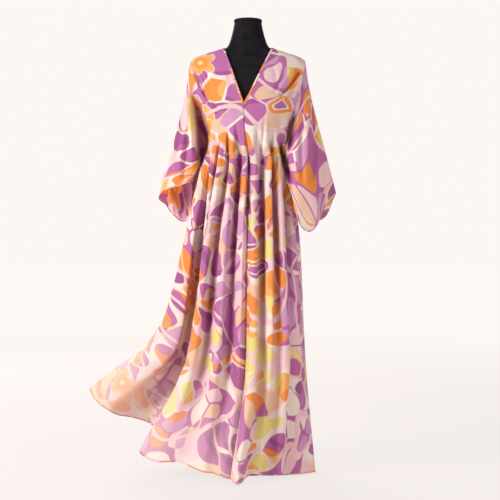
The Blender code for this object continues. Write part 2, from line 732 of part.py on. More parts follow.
def make_stand():
    def disc(z, radius):
        return ring(z, radius, radius, radius, ROUND_SIDES, STAND_Y)

    foot = [
        disc(0.0, FOOT_RADIUS - STAND_EDGE),
        disc(STAND_EDGE, FOOT_RADIUS),
        disc(FOOT_THICKNESS - STAND_EDGE, FOOT_RADIUS),
        disc(FOOT_THICKNESS, FOOT_RADIUS - STAND_EDGE),
    ]
    turned("stand_foot", foot, BLACK_STEEL)
    bottom = FOOT_THICKNESS + SEAM_GAP
    top = FORM_SECTIONS[0][0] - SEAM_GAP
    shoulder = bottom + SOCKET_HEIGHT
    pole = [
        disc(bottom, SOCKET_RADIUS),
        disc(shoulder - STAND_EDGE, SOCKET_RADIUS),
        disc(shoulder, SOCKET_RADIUS - STAND_EDGE),
        disc(shoulder + STAND_EDGE, POLE_RADIUS),
        disc(top, POLE_RADIUS),
    ]
    turned("stand_pole", pole, BLACK_STEEL)


def make_dress():
    right = make_panel(front_panel(0, CENTRE_ROW, -1))
    left = make_panel(front_panel(CENTRE_ROW, len(FRONT_FOLDS) - 1, 1))
    back = make_panel(back_panel())
    rows = right["points"].shape[0]
    below_underarm = np.arange(YOKE_ROWS, rows)
    below_v = np.arange(int(np.argmin(np.abs(right["plain"][:, -1, 2] - V_POINT[1]))), rows)
    back_last = back["points"].shape[1] - 1
    right_last = right["points"].shape[1] - 1
    left_last = left["points"].shape[1] - 1
    neck_x = float(seam_x(SHOULDER_NECK_Z, 1))
    back_top_x = back["plain"][0, :, 0]
    on_shoulder = np.abs(back_top_x) >= neck_x - CORNER_REACH
    shoulder_seam(right, np.arange(right_last + 1), -1)
    shoulder_seam(left, np.arange(left_last + 1), -1)
    shoulder_seam(back, np.flatnonzero(on_shoulder), 1)
    seam_together(right, 0, back, back_last, below_underarm)
    seam_together(left, 0, back, 0, below_underarm)
    seam_together(right, right_last, left, left_last, below_v)
    sleeve_right = make_sleeve(right, 0, back, back_last, RIGHT_CUFF, -1)
    sleeve_left = make_sleeve(left, 0, back, 0, LEFT_CUFF, 1)
    neck_columns = np.flatnonzero(~on_shoulder)
    make_binding(right, left, back, below_v[0], neck_columns)
    for name, panel in (("front_right", right), ("front_left", left), ("back", back)):
        walled(name, panel["points"], panel["normals"], WALL, False, PRINTED_VOILE)
    for name, sleeve in (("sleeve_right", sleeve_right), ("sleeve_left", sleeve_left)):
        walled(name, sleeve["points"], sleeve["normals"], WALL, True, PRINTED_VOILE)


def main():
    clear_scene()
    make_stand()
    make_form()
    make_dress()


main()
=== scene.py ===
"""A printed voile kaftan dress worn by a black, limbless dress form on its stand.

Metres, +Z up, the wearer faces -Y, and "right" and "left" are the wearer's own. The cloth's thin shells
follow the same cut as the solids that they stand for, with finer creases, gathers, hems and stitching.
"""

from __future__ import annotations

import json
import logging
import math
from collections.abc import Callable
from dataclasses import astuple, dataclass, field
from enum import Enum

import bpy
import numpy as np
from bpy.types import Material, Node, NodeSocket, NodeTree, Object
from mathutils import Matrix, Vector
from numpy.typing import ArrayLike

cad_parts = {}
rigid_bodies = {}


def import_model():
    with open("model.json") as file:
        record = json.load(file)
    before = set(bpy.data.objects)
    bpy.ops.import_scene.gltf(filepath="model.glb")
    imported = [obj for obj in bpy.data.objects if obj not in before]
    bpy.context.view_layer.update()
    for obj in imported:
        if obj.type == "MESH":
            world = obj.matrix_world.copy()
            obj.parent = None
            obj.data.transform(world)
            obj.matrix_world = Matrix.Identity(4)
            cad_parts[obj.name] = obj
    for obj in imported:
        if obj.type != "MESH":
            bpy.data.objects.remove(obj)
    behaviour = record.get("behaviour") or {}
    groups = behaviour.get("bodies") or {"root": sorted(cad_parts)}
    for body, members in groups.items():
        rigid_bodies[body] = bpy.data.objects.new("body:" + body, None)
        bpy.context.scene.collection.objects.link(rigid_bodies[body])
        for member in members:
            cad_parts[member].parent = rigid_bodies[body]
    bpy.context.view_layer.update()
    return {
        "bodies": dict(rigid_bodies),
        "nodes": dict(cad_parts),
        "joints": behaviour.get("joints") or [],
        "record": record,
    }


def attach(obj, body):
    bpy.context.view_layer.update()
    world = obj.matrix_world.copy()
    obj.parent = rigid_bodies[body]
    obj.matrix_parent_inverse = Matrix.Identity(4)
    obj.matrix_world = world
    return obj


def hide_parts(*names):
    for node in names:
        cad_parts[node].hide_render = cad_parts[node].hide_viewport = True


logger = logging.getLogger("kaftan")
Array = np.ndarray
Socket = NodeSocket

# Cut of the garment: levels and points, in metres
WAIST_Z = 1.030
UNDERARM_Z = 1.062
TIP_Z = 1.362
SHOULDER_NECK_Z = 1.403
V_POINT = (-0.0130, 1.206)
CENTRE_FRONT = (
    # z, x
    (1.030, 0.0020),
    (1.080, -0.0066),
    (1.130, -0.0105),
    (1.206, -0.0130),
)
ARMHOLE_FRONT = 0.036
ARMHOLE_BACK = 0.042
BUST_HEIGHT = 0.010
BUST_Z = 1.205
BUST_SPREAD_Z = 0.050
BUST_X = 0.078
BUST_SPREAD_X = 0.045
GATHER_REACH = 0.120
GATHER_POWER = 1.6

FORM_SECTIONS = (
    # z, half width, depth in front, depth behind
    (0.700, 0.122, 0.080, 0.086),
    (0.750, 0.134, 0.087, 0.096),
    (0.850, 0.139, 0.091, 0.099),
    (0.950, 0.122, 0.086, 0.087),
    (1.040, 0.104, 0.079, 0.076),
    (1.120, 0.112, 0.087, 0.082),
    (1.205, 0.130, 0.098, 0.089),
    (1.270, 0.148, 0.091, 0.090),
    (1.315, 0.167, 0.079, 0.084),
    (1.340, 0.178, 0.069, 0.077),
    (1.3554, 0.1795, 0.0570, 0.0660),
    (1.3634, 0.1755, 0.0520, 0.0620),
    (1.3699, 0.1650, 0.0480, 0.0590),
    (1.3771, 0.1480, 0.0455, 0.0570),
    (1.3853, 0.1225, 0.0440, 0.0560),
    (1.3929, 0.0990, 0.0435, 0.0550),
    (1.3992, 0.0780, 0.0435, 0.0540),
    (1.4120, 0.0650, 0.0440, 0.0525),
    (1.4320, 0.0575, 0.0460, 0.0520),
    (1.4600, 0.0500, 0.0450, 0.0480),
    (1.4850, 0.0450, 0.0430, 0.0440),
)
BODICE_SECTIONS = (
    # z, middle, half width, depth in front, depth behind
    (1.0300, -0.0085, 0.1405, 0.1000, 0.0960),
    (1.0750, -0.0040, 0.1340, 0.1030, 0.0980),
    (1.1300, -0.0010, 0.1370, 0.1070, 0.0990),
    (1.2050, -0.0050, 0.1690, 0.1090, 0.1000),
    (1.2700, -0.0080, 0.1930, 0.1000, 0.0990),
    (1.3150, -0.0060, 0.1980, 0.0870, 0.0920),
    (1.3400, -0.0020, 0.1970, 0.0760, 0.0840),
    (1.3580, 0.0000, 0.1905, 0.0660, 0.0750),
    (1.3660, 0.0000, 0.1820, 0.0610, 0.0710),
    (1.3728, 0.0000, 0.1700, 0.0570, 0.0680),
    (1.3800, 0.0000, 0.1515, 0.0540, 0.0650),
    (1.3882, 0.0000, 0.1250, 0.0520, 0.0630),
    (1.3958, 0.0000, 0.1010, 0.0510, 0.0620),
    (1.4030, 0.0000, 0.0800, 0.0510, 0.0615),
)
# Ridges and valleys of the two fronts, from the right side seam to the left one
FRONT_FOLDS = (
    # waist_deg, relief, knee_x, knee_y, knee_z, hem_x, hem_y, hem_z
    (-90.0, 0.000, -0.292, 0.015, 0.487, -0.532, 0.050, 0.271),
    (-78.0, 0.003, -0.284, -0.040, 0.476, -0.510, 0.022, 0.238),
    (-67.0, 0.005, -0.224, -0.080, 0.452, -0.470, 0.012, 0.206),
    (-60.0, 0.000, -0.226, -0.032, 0.442, -0.432, 0.040, 0.182),
    (-54.0, -0.006, -0.204, 0.004, 0.428, -0.386, 0.066, 0.171),
    (-48.0, 0.005, -0.178, -0.012, 0.412, -0.338, 0.068, 0.154),
    (-42.5, -0.004, -0.166, -0.052, 0.405, -0.286, 0.030, 0.120),
    (-38.0, 0.001, -0.196, -0.100, 0.402, -0.351, -0.086, 0.087),
    (-33.5, 0.006, -0.178, -0.146, 0.395, -0.302, -0.132, 0.059),
    (-25.0, -0.006, -0.136, -0.126, 0.390, -0.216, -0.150, 0.057),
    (-17.0, 0.006, -0.099, -0.174, 0.388, -0.146, -0.190, 0.036),
    (-8.0, -0.006, -0.062, -0.144, 0.386, -0.108, -0.190, 0.030),
    (1.0, 0.005, -0.030, -0.176, 0.383, -0.080, -0.216, 0.022),
    (4.3, -0.004, -0.008, -0.160, 0.381, -0.056, -0.212, 0.016),
    (13.0, 0.006, 0.014, -0.198, 0.373, -0.031, -0.240, 0.004),
    (22.5, -0.006, 0.044, -0.164, 0.385, 0.004, -0.178, 0.022),
    (32.0, 0.006, 0.072, -0.180, 0.384, 0.036, -0.168, 0.020),
    (41.0, -0.006, 0.094, -0.157, 0.380, 0.064, -0.126, 0.012),
    (50.0, 0.006, 0.120, -0.164, 0.380, 0.103, -0.138, 0.015),
    (59.5, -0.005, 0.140, -0.126, 0.376, 0.126, -0.094, 0.008),
    (69.0, 0.005, 0.162, -0.112, 0.378, 0.166, -0.092, 0.010),
    (79.0, -0.003, 0.176, -0.064, 0.374, 0.190, -0.045, 0.004),
    (90.0, 0.000, 0.190, -0.010, 0.374, 0.222, -0.024, 0.005),
)
CENTRE_ROW = 13
KNEE_SHARE = 0.64
HIP_SHARE = 0.25
HIP_OUT_RIGHT = 0.33
HIP_OUT_LEFT = 0.67
# Ridges and valleys of the back, from the left side seam to the right one
BACK_FOLDS = (
    # share, waist_relief, knee_relief, hem_relief
    (0.070, -0.003, -0.008, -0.012),
    (0.140, 0.006, 0.016, 0.020),
    (0.215, -0.006, -0.016, -0.020),
    (0.290, 0.004, 0.018, 0.024),
    (0.365, -0.006, -0.018, -0.018),
    (0.435, 0.006, 0.014, 0.018),
    (0.505, -0.006, -0.016, -0.024),
    (0.580, 0.006, 0.020, 0.028),
    (0.645, -0.006, -0.018, -0.022),
    (0.710, 0.004, 0.016, 0.024),
    (0.800, -0.006, -0.018, -0.030),
    (0.870, 0.006, 0.020, 0.030),
    (0.940, -0.003, -0.010, -0.014),
)
NECK_FOLD = 3
BACK_KNEE_DEPTH = 0.185
BACK_HEM_DEPTH = 0.235
BACK_LIFT_POWER = 2.4
RIGHT_CUFF = (
    # share, x, y, z
    (0.00, -0.187, -0.006, 0.955),
    (0.09, -0.196, -0.042, 0.955),
    (0.19, -0.226, -0.050, 0.944),
    (0.30, -0.258, -0.047, 0.936),
    (0.42, -0.286, -0.022, 0.922),
    (0.50, -0.297, 0.012, 0.906),
    (0.60, -0.275, 0.044, 0.886),
    (0.67, -0.262, 0.052, 0.866),
    (0.77, -0.226, 0.068, 0.832),
    (0.87, -0.199, 0.056, 0.846),
    (0.94, -0.189, 0.026, 0.900),
)
LEFT_CUFF = (
    # share, x, y, z
    (0.00, 0.178, -0.034, 0.940),
    (0.08, 0.158, -0.082, 0.915),
    (0.16, 0.150, -0.104, 0.870),
    (0.24, 0.170, -0.114, 0.812),
    (0.31, 0.197, -0.102, 0.794),
    (0.37, 0.222, -0.082, 0.812),
    (0.43, 0.248, -0.048, 0.868),
    (0.52, 0.291, -0.004, 0.922),
    (0.62, 0.281, 0.032, 0.895),
    (0.72, 0.262, 0.050, 0.850),
    (0.84, 0.226, 0.054, 0.838),
    (0.93, 0.194, 0.022, 0.885),
)
SLEEVE_LEAVES_UNDERARM = (0.020, 0.110)
SLEEVE_LEAVES_TOP = (0.050, 0.420)
SLEEVE_ARRIVAL = 0.9
YOKE_ROWS = 14
YOKE_TURN = 0.8
BODICE_ROWS = 2
SKIRT_ROWS = 16
WAIST_ROW = YOKE_ROWS + BODICE_ROWS
SHOULDER_LEVELS = 60
# The fronts' and the back's normals face away from this x
PANEL_MIDDLE_X = -0.02

# How finely the cloth is drawn: new rows for each row of the cut
YOKE_FINE = 5
WAIST_FINE = 8
SKIRT_FINE = 6
WAIST_ROWS_END = 20
SLEEVE_FINE_ROWS = 84

CLOTH_THICKNESS = 0.0006
SEAM_GAP = 0.0003
# Heights of the two gathering threads over the waist
GATHERING_THREADS = (0.003, 0.018)
# How far below a hem's or the binding's inner line its stitches run
STITCH_INSET = 0.001
# How far over the cloth's outer face the stitches lie on a hem and on the binding
STITCH_ON_HEM = 0.0009
STITCH_ON_BINDING = 0.0008
# Depth in a fold at which the cloth counts as fully shaded, and the neighbours it is measured by in a sleeve
FULL_FOLD = 0.011
SLEEVE_NEIGHBOURS = 7
# How much painted light pales the cloth's colour in the skirt's flare, at its hem and at the cuffs, standing
# in for light coming through it
FLARE_PALING = 0.50
HEM_PALING = 0.32
CUFF_PALING = 0.22
# Where the trims lie on the printed cloth
TRIM_OFFSET = (0.37, 0.11)


class Side(Enum):
    """Which side of the body a piece of cloth is seen from."""

    FRONT = -1
    BACK = 1


class Hand(Enum):
    """The wearer's own side."""

    RIGHT = -1
    LEFT = 1


class Held(Enum):
    """How a piece of cloth is held up."""

    DRAPED = "draped"
    HUNG = "hung"
    LAID = "laid"


def smooth_path(t: Array, start: Array, leaving: Array, end: Array, arriving: Array) -> Array:
    """A smooth path from one place to another.

    Args:
        t: shares of the way, from 0 to 1.
        start: where the path starts.
        leaving: its direction there, as long as its pull.
        end: where it ends.
        arriving: its direction there.

    Returns:
        The places at those shares.
    """
    return (
        (1 + 2 * t) * (1 - t) ** 2 * start
        + t * (1 - t) ** 2 * leaving
        + t * t * (3 - 2 * t) * end
        + t * t * (t - 1) * arriving
    )


def run_through(places: ArrayLike, values: ArrayLike) -> Callable[[ArrayLike], Array]:
    """A function that runs smoothly through rows of values, with no overshoot between them.

    Args:
        places: the place of each row, rising.
        values: a value or a list of values for each row.

    Returns:
        A function from a place, or an array of them, to the value there.
    """
    x = np.asarray(places, float)
    y = np.asarray(values, float)
    flat = y.reshape(len(x), -1)
    slope = np.diff(flat, axis=0) / np.diff(x)[:, None]
    tangent = np.empty_like(flat)
    tangent[0] = slope[0]
    tangent[-1] = slope[-1]
    same_way = slope[:-1] * slope[1:] > 0
    total = np.where(same_way, slope[:-1] + slope[1:], 1.0)
    tangent[1:-1] = np.where(same_way, 2 * slope[:-1] * slope[1:] / total, 0.0)

    def at(place: ArrayLike) -> Array:
        """The value at a place, or the values at an array of them."""
        place = np.clip(np.asarray(place, float), x[0], x[-1])
        i = np.clip(np.searchsorted(x, place, side="right") - 1, 0, len(x) - 2)
        h = (x[i + 1] - x[i])[..., None]
        t = (place - x[i])[..., None] / h
        blended = smooth_path(t, flat[i], h * tangent[i], flat[i + 1], h * tangent[i + 1])
        return blended.reshape(place.shape + y.shape[1:])

    return at


def unit(vectors: Array) -> Array:
    """The vectors, each one long."""
    return vectors / np.maximum(np.linalg.norm(vectors, axis=-1, keepdims=True), 1e-12)


def gauss(value: Array) -> Array:
    """A soft bump, 1 at 0."""
    return np.exp(-value * value)


def ease(value: Array) -> Array:
    """From 0 to 1, starting and ending softly."""
    value = np.clip(value, 0.0, 1.0)
    return value * value * (3 - 2 * value)


def steps_along(points: Array, axis: int) -> Array:
    """Distance along a grid's rows or columns from its first point.

    Args:
        points: the grid's points.
        axis: 0 to go down the columns, 1 to go along the rows.

    Returns:
        The distance at each point, in metres.
    """
    lengths = np.linalg.norm(np.diff(points, axis=axis), axis=-1)
    start = np.zeros_like(np.take(lengths, [0], axis=axis))
    return np.concatenate([start, np.cumsum(lengths, axis=axis)], axis=axis)


def curve_through(control: Array, places: Array) -> Array:
    """Points of a smooth curve through each row of control points, open at its ends.

    Args:
        control: points, the curve running along the first axis.
        places: where to read the curve, in rows of the control points.

    Returns:
        The points at those places.
    """
    ahead = np.diff(control, axis=0)
    length = np.linalg.norm(ahead, axis=-1, keepdims=True)
    tangent = np.concatenate([unit(ahead[:1]), unit(control[2:] - control[:-2]), unit(ahead[-1:])])
    i = np.clip(np.floor(places).astype(int), 0, len(control) - 2)
    t = (places - i).reshape((-1,) + (1,) * (control.ndim - 1))
    return smooth_path(t, control[i], tangent[i] * length[i], control[i + 1], tangent[i + 1] * length[i])


class Cut:
    """The garment's lines, worked out from its sizes, as its maker would draft them."""

    def __init__(self) -> None:
        """Reads the tables of sections once."""
        self.bodice = run_through([row[0] for row in BODICE_SECTIONS], [row[1:] for row in BODICE_SECTIONS])
        self.centre_front = run_through([row[0] for row in CENTRE_FRONT], [row[1] for row in CENTRE_FRONT])

    def bust(self, x: Array, z: Array) -> Array:
        """How far the bust stands forward at a place seen from the front.

        Args:
            x: the place's x.
            z: its height.

        Returns:
            The distance, in metres.
        """
        level = gauss((z - BUST_Z) / BUST_SPREAD_Z)
        across = gauss((x - BUST_X) / BUST_SPREAD_X) + gauss((x + BUST_X) / BUST_SPREAD_X)
        return BUST_HEIGHT * level * across

    def depth(self, x: Array, z: Array, side: Side) -> Array:
        """y of the bodice cloth at a place seen from the front or the back.

        Args:
            x: the place's x.
            z: its height.
            side: front or back.

        Returns:
            The cloth's y there.
        """
        middle, half, front, back = np.moveaxis(self.bodice(z), -1, 0)
        reach = front if side is Side.FRONT else back
        rise = np.sqrt(np.clip(1.0 - ((x - middle) / half) ** 2, 0.0, 1.0))
        y = side.value * reach * rise
        return y - self.bust(x, z) * rise if side is Side.FRONT else y

    def seam_x(self, z: ArrayLike, hand: Hand) -> Array:
        """x of the shoulder seam, or of the side seam lower down."""
        middle, half = np.moveaxis(self.bodice(z), -1, 0)[:2]
        return middle + hand.value * half

    def shoulder_z(self, x: Array) -> Array:
        """Height of the shoulder seam over a distance x from the middle."""
        levels = np.linspace(TIP_Z, SHOULDER_NECK_Z, SHOULDER_LEVELS)
        return np.interp(-np.abs(x), -np.abs(self.seam_x(levels, Hand.LEFT)), levels)

    def armhole(self, t: Array, hand: Hand, side: Side) -> tuple[Array, Array]:
        """x and z of the armhole's edge, an oval.

        Args:
            t: shares of the way down, 0 at the shoulder's tip and 1 under the arm.
            hand: the wearer's right or left.
            side: front or back.

        Returns:
            x and z for each share.
        """
        z = TIP_Z + (UNDERARM_Z - TIP_Z) * t
        middle, half, front, back = np.moveaxis(self.bodice(z), -1, 0)
        reach, deep = (ARMHOLE_FRONT, front) if side is Side.FRONT else (ARMHOLE_BACK, back)
        y = reach * 2.0 * np.sqrt(np.clip(t * (1.0 - t), 0.0, None))
        return middle + hand.value * half * np.sqrt(1.0 - (y / deep) ** 2), z

    def neck(self, t: Array, hand: Hand) -> tuple[Array, Array]:
        """x and z of the front's inner edge: down the V, then down the centre front.

        Args:
            t: shares of the way down, 0 at the shoulder and 1 at the underarm's level.
            hand: the wearer's right or left.

        Returns:
            x and z for each share.
        """
        z = SHOULDER_NECK_Z + (UNDERARM_Z - SHOULDER_NECK_Z) * t
        neck_x = float(self.seam_x(SHOULDER_NECK_Z, hand))
        down = np.clip((SHOULDER_NECK_Z - z) / (SHOULDER_NECK_Z - V_POINT[1]), 0.0, 1.0)
        return np.where(z >= V_POINT[1], neck_x + (V_POINT[0] - neck_x) * down, self.centre_front(z)), z

    def level_row(self, shares: Array, z: float, start_x: float, end_x: float) -> tuple:
        """x and z of a level row between two edges, spread evenly by angle.

        Args:
            shares: the columns' shares of the way across.
            z: the row's height.
            start_x: x of its first edge.
            end_x: x of its last edge.

        Returns:
            x and z for each column.
        """
        middle, half = self.bodice(z)[..., :2]
        start, end = np.arcsin(np.clip((np.array([start_x, end_x]) - middle) / half, -1.0, 1.0))
        return middle + half * np.sin(start + (end - start) * shares), np.full(shares.shape, float(z))

    def yoke(self, shares: Array, top: Callable, left: Callable, right: Callable, side: Side) -> Array:
        """The cloth above the underarm, spread evenly between its four edges.

        Args:
            shares: the columns' shares of the way across.
            top: gives x and z of the top edge for each share.
            left: gives x and z of the first column for each row.
            right: gives x and z of the last column for each row.
            side: front or back.

        Returns:
            A grid of points.
        """
        turn = np.arange(YOKE_ROWS + 1) / YOKE_ROWS * math.pi * YOKE_TURN
        t = ((1 - np.cos(turn)) / (1 - math.cos(math.pi * YOKE_TURN)))[:, None]
        u = shares[None, :]
        left_x, left_z = left(t)
        right_x, right_z = right(t)
        top_x, top_z = (value[None, :] for value in top(shares))
        low_x, low_z = self.level_row(shares, UNDERARM_Z, left_x[-1, 0], right_x[-1, 0])
        grid = []
        for a, b, c, d in ((left_x, right_x, top_x, low_x), (left_z, right_z, top_z, low_z)):
            corners = (1 - u) * (1 - t) * a[0] + u * (1 - t) * b[0] + (1 - u) * t * a[-1] + u * t * b[-1]
            grid.append((1 - u) * a + u * b + (1 - t) * c + t * d - corners)
        x, z = grid
        return np.stack([x, self.depth(x, z, side), z], axis=-1)

    def under_yoke(self, shares: Array, first: Callable, last: Callable, side: Side) -> Array:
        """The rows from under the arm to the waist.

        Args:
            shares: the columns' shares of the way across.
            first: gives x of the first column at a height.
            last: gives x of the last column at a height.
            side: front or back.

        Returns:
            A grid of points.
        """
        rows = []
        for j in range(1, BODICE_ROWS + 1):
            z = UNDERARM_Z + (WAIST_Z - UNDERARM_Z) * j / BODICE_ROWS
            x, level = self.level_row(shares, z, float(first(z)), float(last(z)))
            rows.append(np.stack([x, self.depth(x, level, side), level], axis=-1))
        return np.stack(rows)

    def gathered(self, points: Array, relief: Array) -> Array:
        """The bodice with the folds' first ripple above the waist.

        Args:
            points: the bodice's grid.
            relief: how far each column stands out at the waist.

        Returns:
            The rippled grid.
        """
        fade = np.clip(1.0 - (points[..., 2] - WAIST_Z) / GATHER_REACH, 0.0, 1.0) ** GATHER_POWER
        outward = unit(points * np.array([1.0, 1.0, 0.0]))
        return points + outward * (fade * relief[None, :])[..., None]

    def fold_path(self, waist: Array, knee: Array, hem: Array, hip_out: float) -> Array:
        """Points down a fold, from the waist to the hem.

        Args:
            waist: its place at the waist.
            knee: its place at the knee.
            hem: its place at the hem.
            hip_out: how far out it is at the hip, as a share of the way from waist to knee.

        Returns:
            A point for each row of the skirt.
        """
        hip = waist + (knee - waist) * np.array([hip_out, hip_out, HIP_SHARE / KNEE_SHARE])
        path = run_through([0.0, HIP_SHARE, KNEE_SHARE, 1.0], [waist, hip, knee, hem])
        return path(np.arange(1, SKIRT_ROWS + 1) / SKIRT_ROWS)

    def front(self, hand: Hand) -> tuple[Array, Array]:
        """Fold points of one front, from its side seam to the centre front.

        Args:
            hand: the wearer's right or left.

        Returns:
            The grid of points and the relief of each fold.
        """
        if hand is Hand.RIGHT:
            order = range(0, CENTRE_ROW + 1)
        else:
            order = range(len(FRONT_FOLDS) - 1, CENTRE_ROW - 1, -1)
        folds = np.array([FRONT_FOLDS[k] for k in order])
        angles, relief = folds[:, 0], folds[:, 1]
        shares = (angles - angles[0]) / (angles[-1] - angles[0])
        side_x = hand.value * abs(float(self.seam_x(TIP_Z, Hand.LEFT)))
        neck_x = float(self.seam_x(SHOULDER_NECK_Z, hand))

        def top(share: Array) -> tuple[Array, Array]:
            """x and z of the shoulder seam."""
            x = side_x + (neck_x - side_x) * share
            return x, self.shoulder_z(x)

        yoke = self.yoke(
            shares,
            top,
            lambda t: self.armhole(t, hand, Side.FRONT),
            lambda t: self.neck(t, hand),
            Side.FRONT,
        )
        low = self.under_yoke(shares, lambda z: self.seam_x(z, hand), self.centre_front, Side.FRONT)
        above = self.gathered(np.concatenate([yoke, low]), relief)
        skirt = []
        for column, fold in enumerate(folds):
            out = HIP_OUT_RIGHT + (HIP_OUT_LEFT - HIP_OUT_RIGHT) * (fold[0] + 90.0) / 180.0
            skirt.append(self.fold_path(above[-1, column], fold[2:5], fold[5:8], out))
        return np.concatenate([above, np.stack(skirt, axis=1)]), relief

    def back_row(self, shares: Array, relief: Array, start: Array, end: Array, depth: float) -> Array:
        """A level of the back skirt, from one side seam round to the other.

        Args:
            shares: the folds' shares of the way round.
            relief: how far each fold stands out.
            start: the left side seam's place.
            end: the right side seam's place.
            depth: how far the row bows out behind the seams.

        Returns:
            A point for each fold.
        """
        turn = math.pi * shares
        across = (start[0] - end[0]) / 2
        x = (start[0] + end[0]) / 2 + across * np.cos(turn)
        y = start[1] + (end[1] - start[1]) * shares + depth * np.sin(turn)
        lift = ((1 - np.cos(turn)) / 2) ** BACK_LIFT_POWER
        z = start[2] + (end[2] - start[2]) * lift
        outward = unit(np.stack([np.cos(turn) * depth, np.sin(turn) * across, 0 * turn], axis=-1))
        return np.stack([x, y, z], axis=-1) + outward * relief[:, None]

    def back(self) -> tuple[Array, Array]:
        """Fold points of the back, from the left side seam round to the right one.

        Returns:
            The grid of points and the relief of each fold.
        """
        left, right = np.array(FRONT_FOLDS[-1]), np.array(FRONT_FOLDS[0])
        rows = [(0.0, 0.0, 0.0, 0.0), *BACK_FOLDS, (1.0, 0.0, 0.0, 0.0)]
        shares, waist_relief, knee_relief, hem_relief = np.array(rows).T
        tip_x = abs(float(self.seam_x(TIP_Z, Hand.LEFT)))
        neck_x = float(self.seam_x(SHOULDER_NECK_Z, Hand.LEFT))
        neck_share = BACK_FOLDS[NECK_FOLD][0]

        def top(share: Array) -> tuple[Array, Array]:
            """x and z of the shoulder seams and the back neck at shares of the way across."""
            corners = [0.0, neck_share, 1.0 - neck_share, 1.0]
            shoulder = np.interp(share, corners, [tip_x, neck_x, -neck_x, -tip_x])
            turn = np.clip((share - neck_share) / (1.0 - 2 * neck_share), 0.0, 1.0) * math.pi
            across = np.where(np.abs(np.cos(turn)) < 1.0, neck_x * np.cos(turn), shoulder)
            return across, np.where(np.abs(across) < neck_x, SHOULDER_NECK_Z, self.shoulder_z(across))

        yoke = self.yoke(
            shares,
            top,
            lambda t: self.armhole(t, Hand.LEFT, Side.BACK),
            lambda t: self.armhole(t, Hand.RIGHT, Side.BACK),
            Side.BACK,
        )
        low = self.under_yoke(
            shares,
            lambda z: self.seam_x(z, Hand.LEFT),
            lambda z: self.seam_x(z, Hand.RIGHT),
            Side.BACK,
        )
        above = self.gathered(np.concatenate([yoke, low]), waist_relief)
        knee = self.back_row(shares, knee_relief, left[2:5], right[2:5], BACK_KNEE_DEPTH)
        hem = self.back_row(shares, hem_relief, left[5:8], right[5:8], BACK_HEM_DEPTH)
        skirt = []
        for column, share in enumerate(shares):
            out = HIP_OUT_LEFT + (HIP_OUT_RIGHT - HIP_OUT_LEFT) * share
            skirt.append(self.fold_path(above[-1, column], knee[column], hem[column], out))
        return np.concatenate([above, np.stack(skirt, axis=1)]), waist_relief


# A crease is followed at this many places; its lip stands this many half widths away and is this many wide
CREASE_PLACES = 40
LIP_AWAY = 2.0
LIP_WIDTH = 1.4


@dataclass(frozen=True)
class Crease:
    """A crease, seen square on from the front or the back.

    It runs through three places, with a raised lip on one side, and fades in and out over shares of its
    length. Sizes are in millimetres.
    """

    start_x: float
    start_z: float
    middle_x: float
    middle_z: float
    end_x: float
    end_z: float
    depth: float
    half_width: float
    lip: float
    fade_in: float
    fade_out: float

    def height(self, x: Array, z: Array) -> Array:
        """How far the cloth stands out, or in where it is below 0, at places seen square on.

        Args:
            x: the places' x.
            z: the places' z.

        Returns:
            The height over the plain cloth, in metres.
        """
        a, b, c = np.reshape(astuple(self)[:6], (3, 2)) / 1000
        depth, half_width, lip = np.array(astuple(self)[6:9]) / 1000
        bend = 2 * b - (a + c) / 2
        t = np.linspace(0.0, 1.0, CREASE_PLACES)[:, None]
        line = (1 - t) ** 2 * a + 2 * t * (1 - t) * bend + t * t * c
        along = unit(np.gradient(line, axis=0))
        gap = np.stack([x, z], axis=-1)[..., None, :] - line
        nearest = np.argmin(np.sum(gap * gap, axis=-1), axis=-1)
        offset = np.take_along_axis(gap, nearest[..., None, None], axis=-2)[..., 0, :]
        way = along[nearest]
        across = way[..., 0] * offset[..., 1] - way[..., 1] * offset[..., 0]
        beyond = np.abs(way[..., 0] * offset[..., 0] + way[..., 1] * offset[..., 1])
        share = nearest / (CREASE_PLACES - 1)
        strength = ease(share / self.fade_in) * ease((1 - share) / self.fade_out)
        strength = strength * gauss(beyond / half_width)
        trough = -depth * gauss(across / half_width)
        from_lip = across - np.sign(lip) * LIP_AWAY * half_width
        return strength * (trough + abs(lip) * gauss(from_lip / (LIP_WIDTH * half_width)))


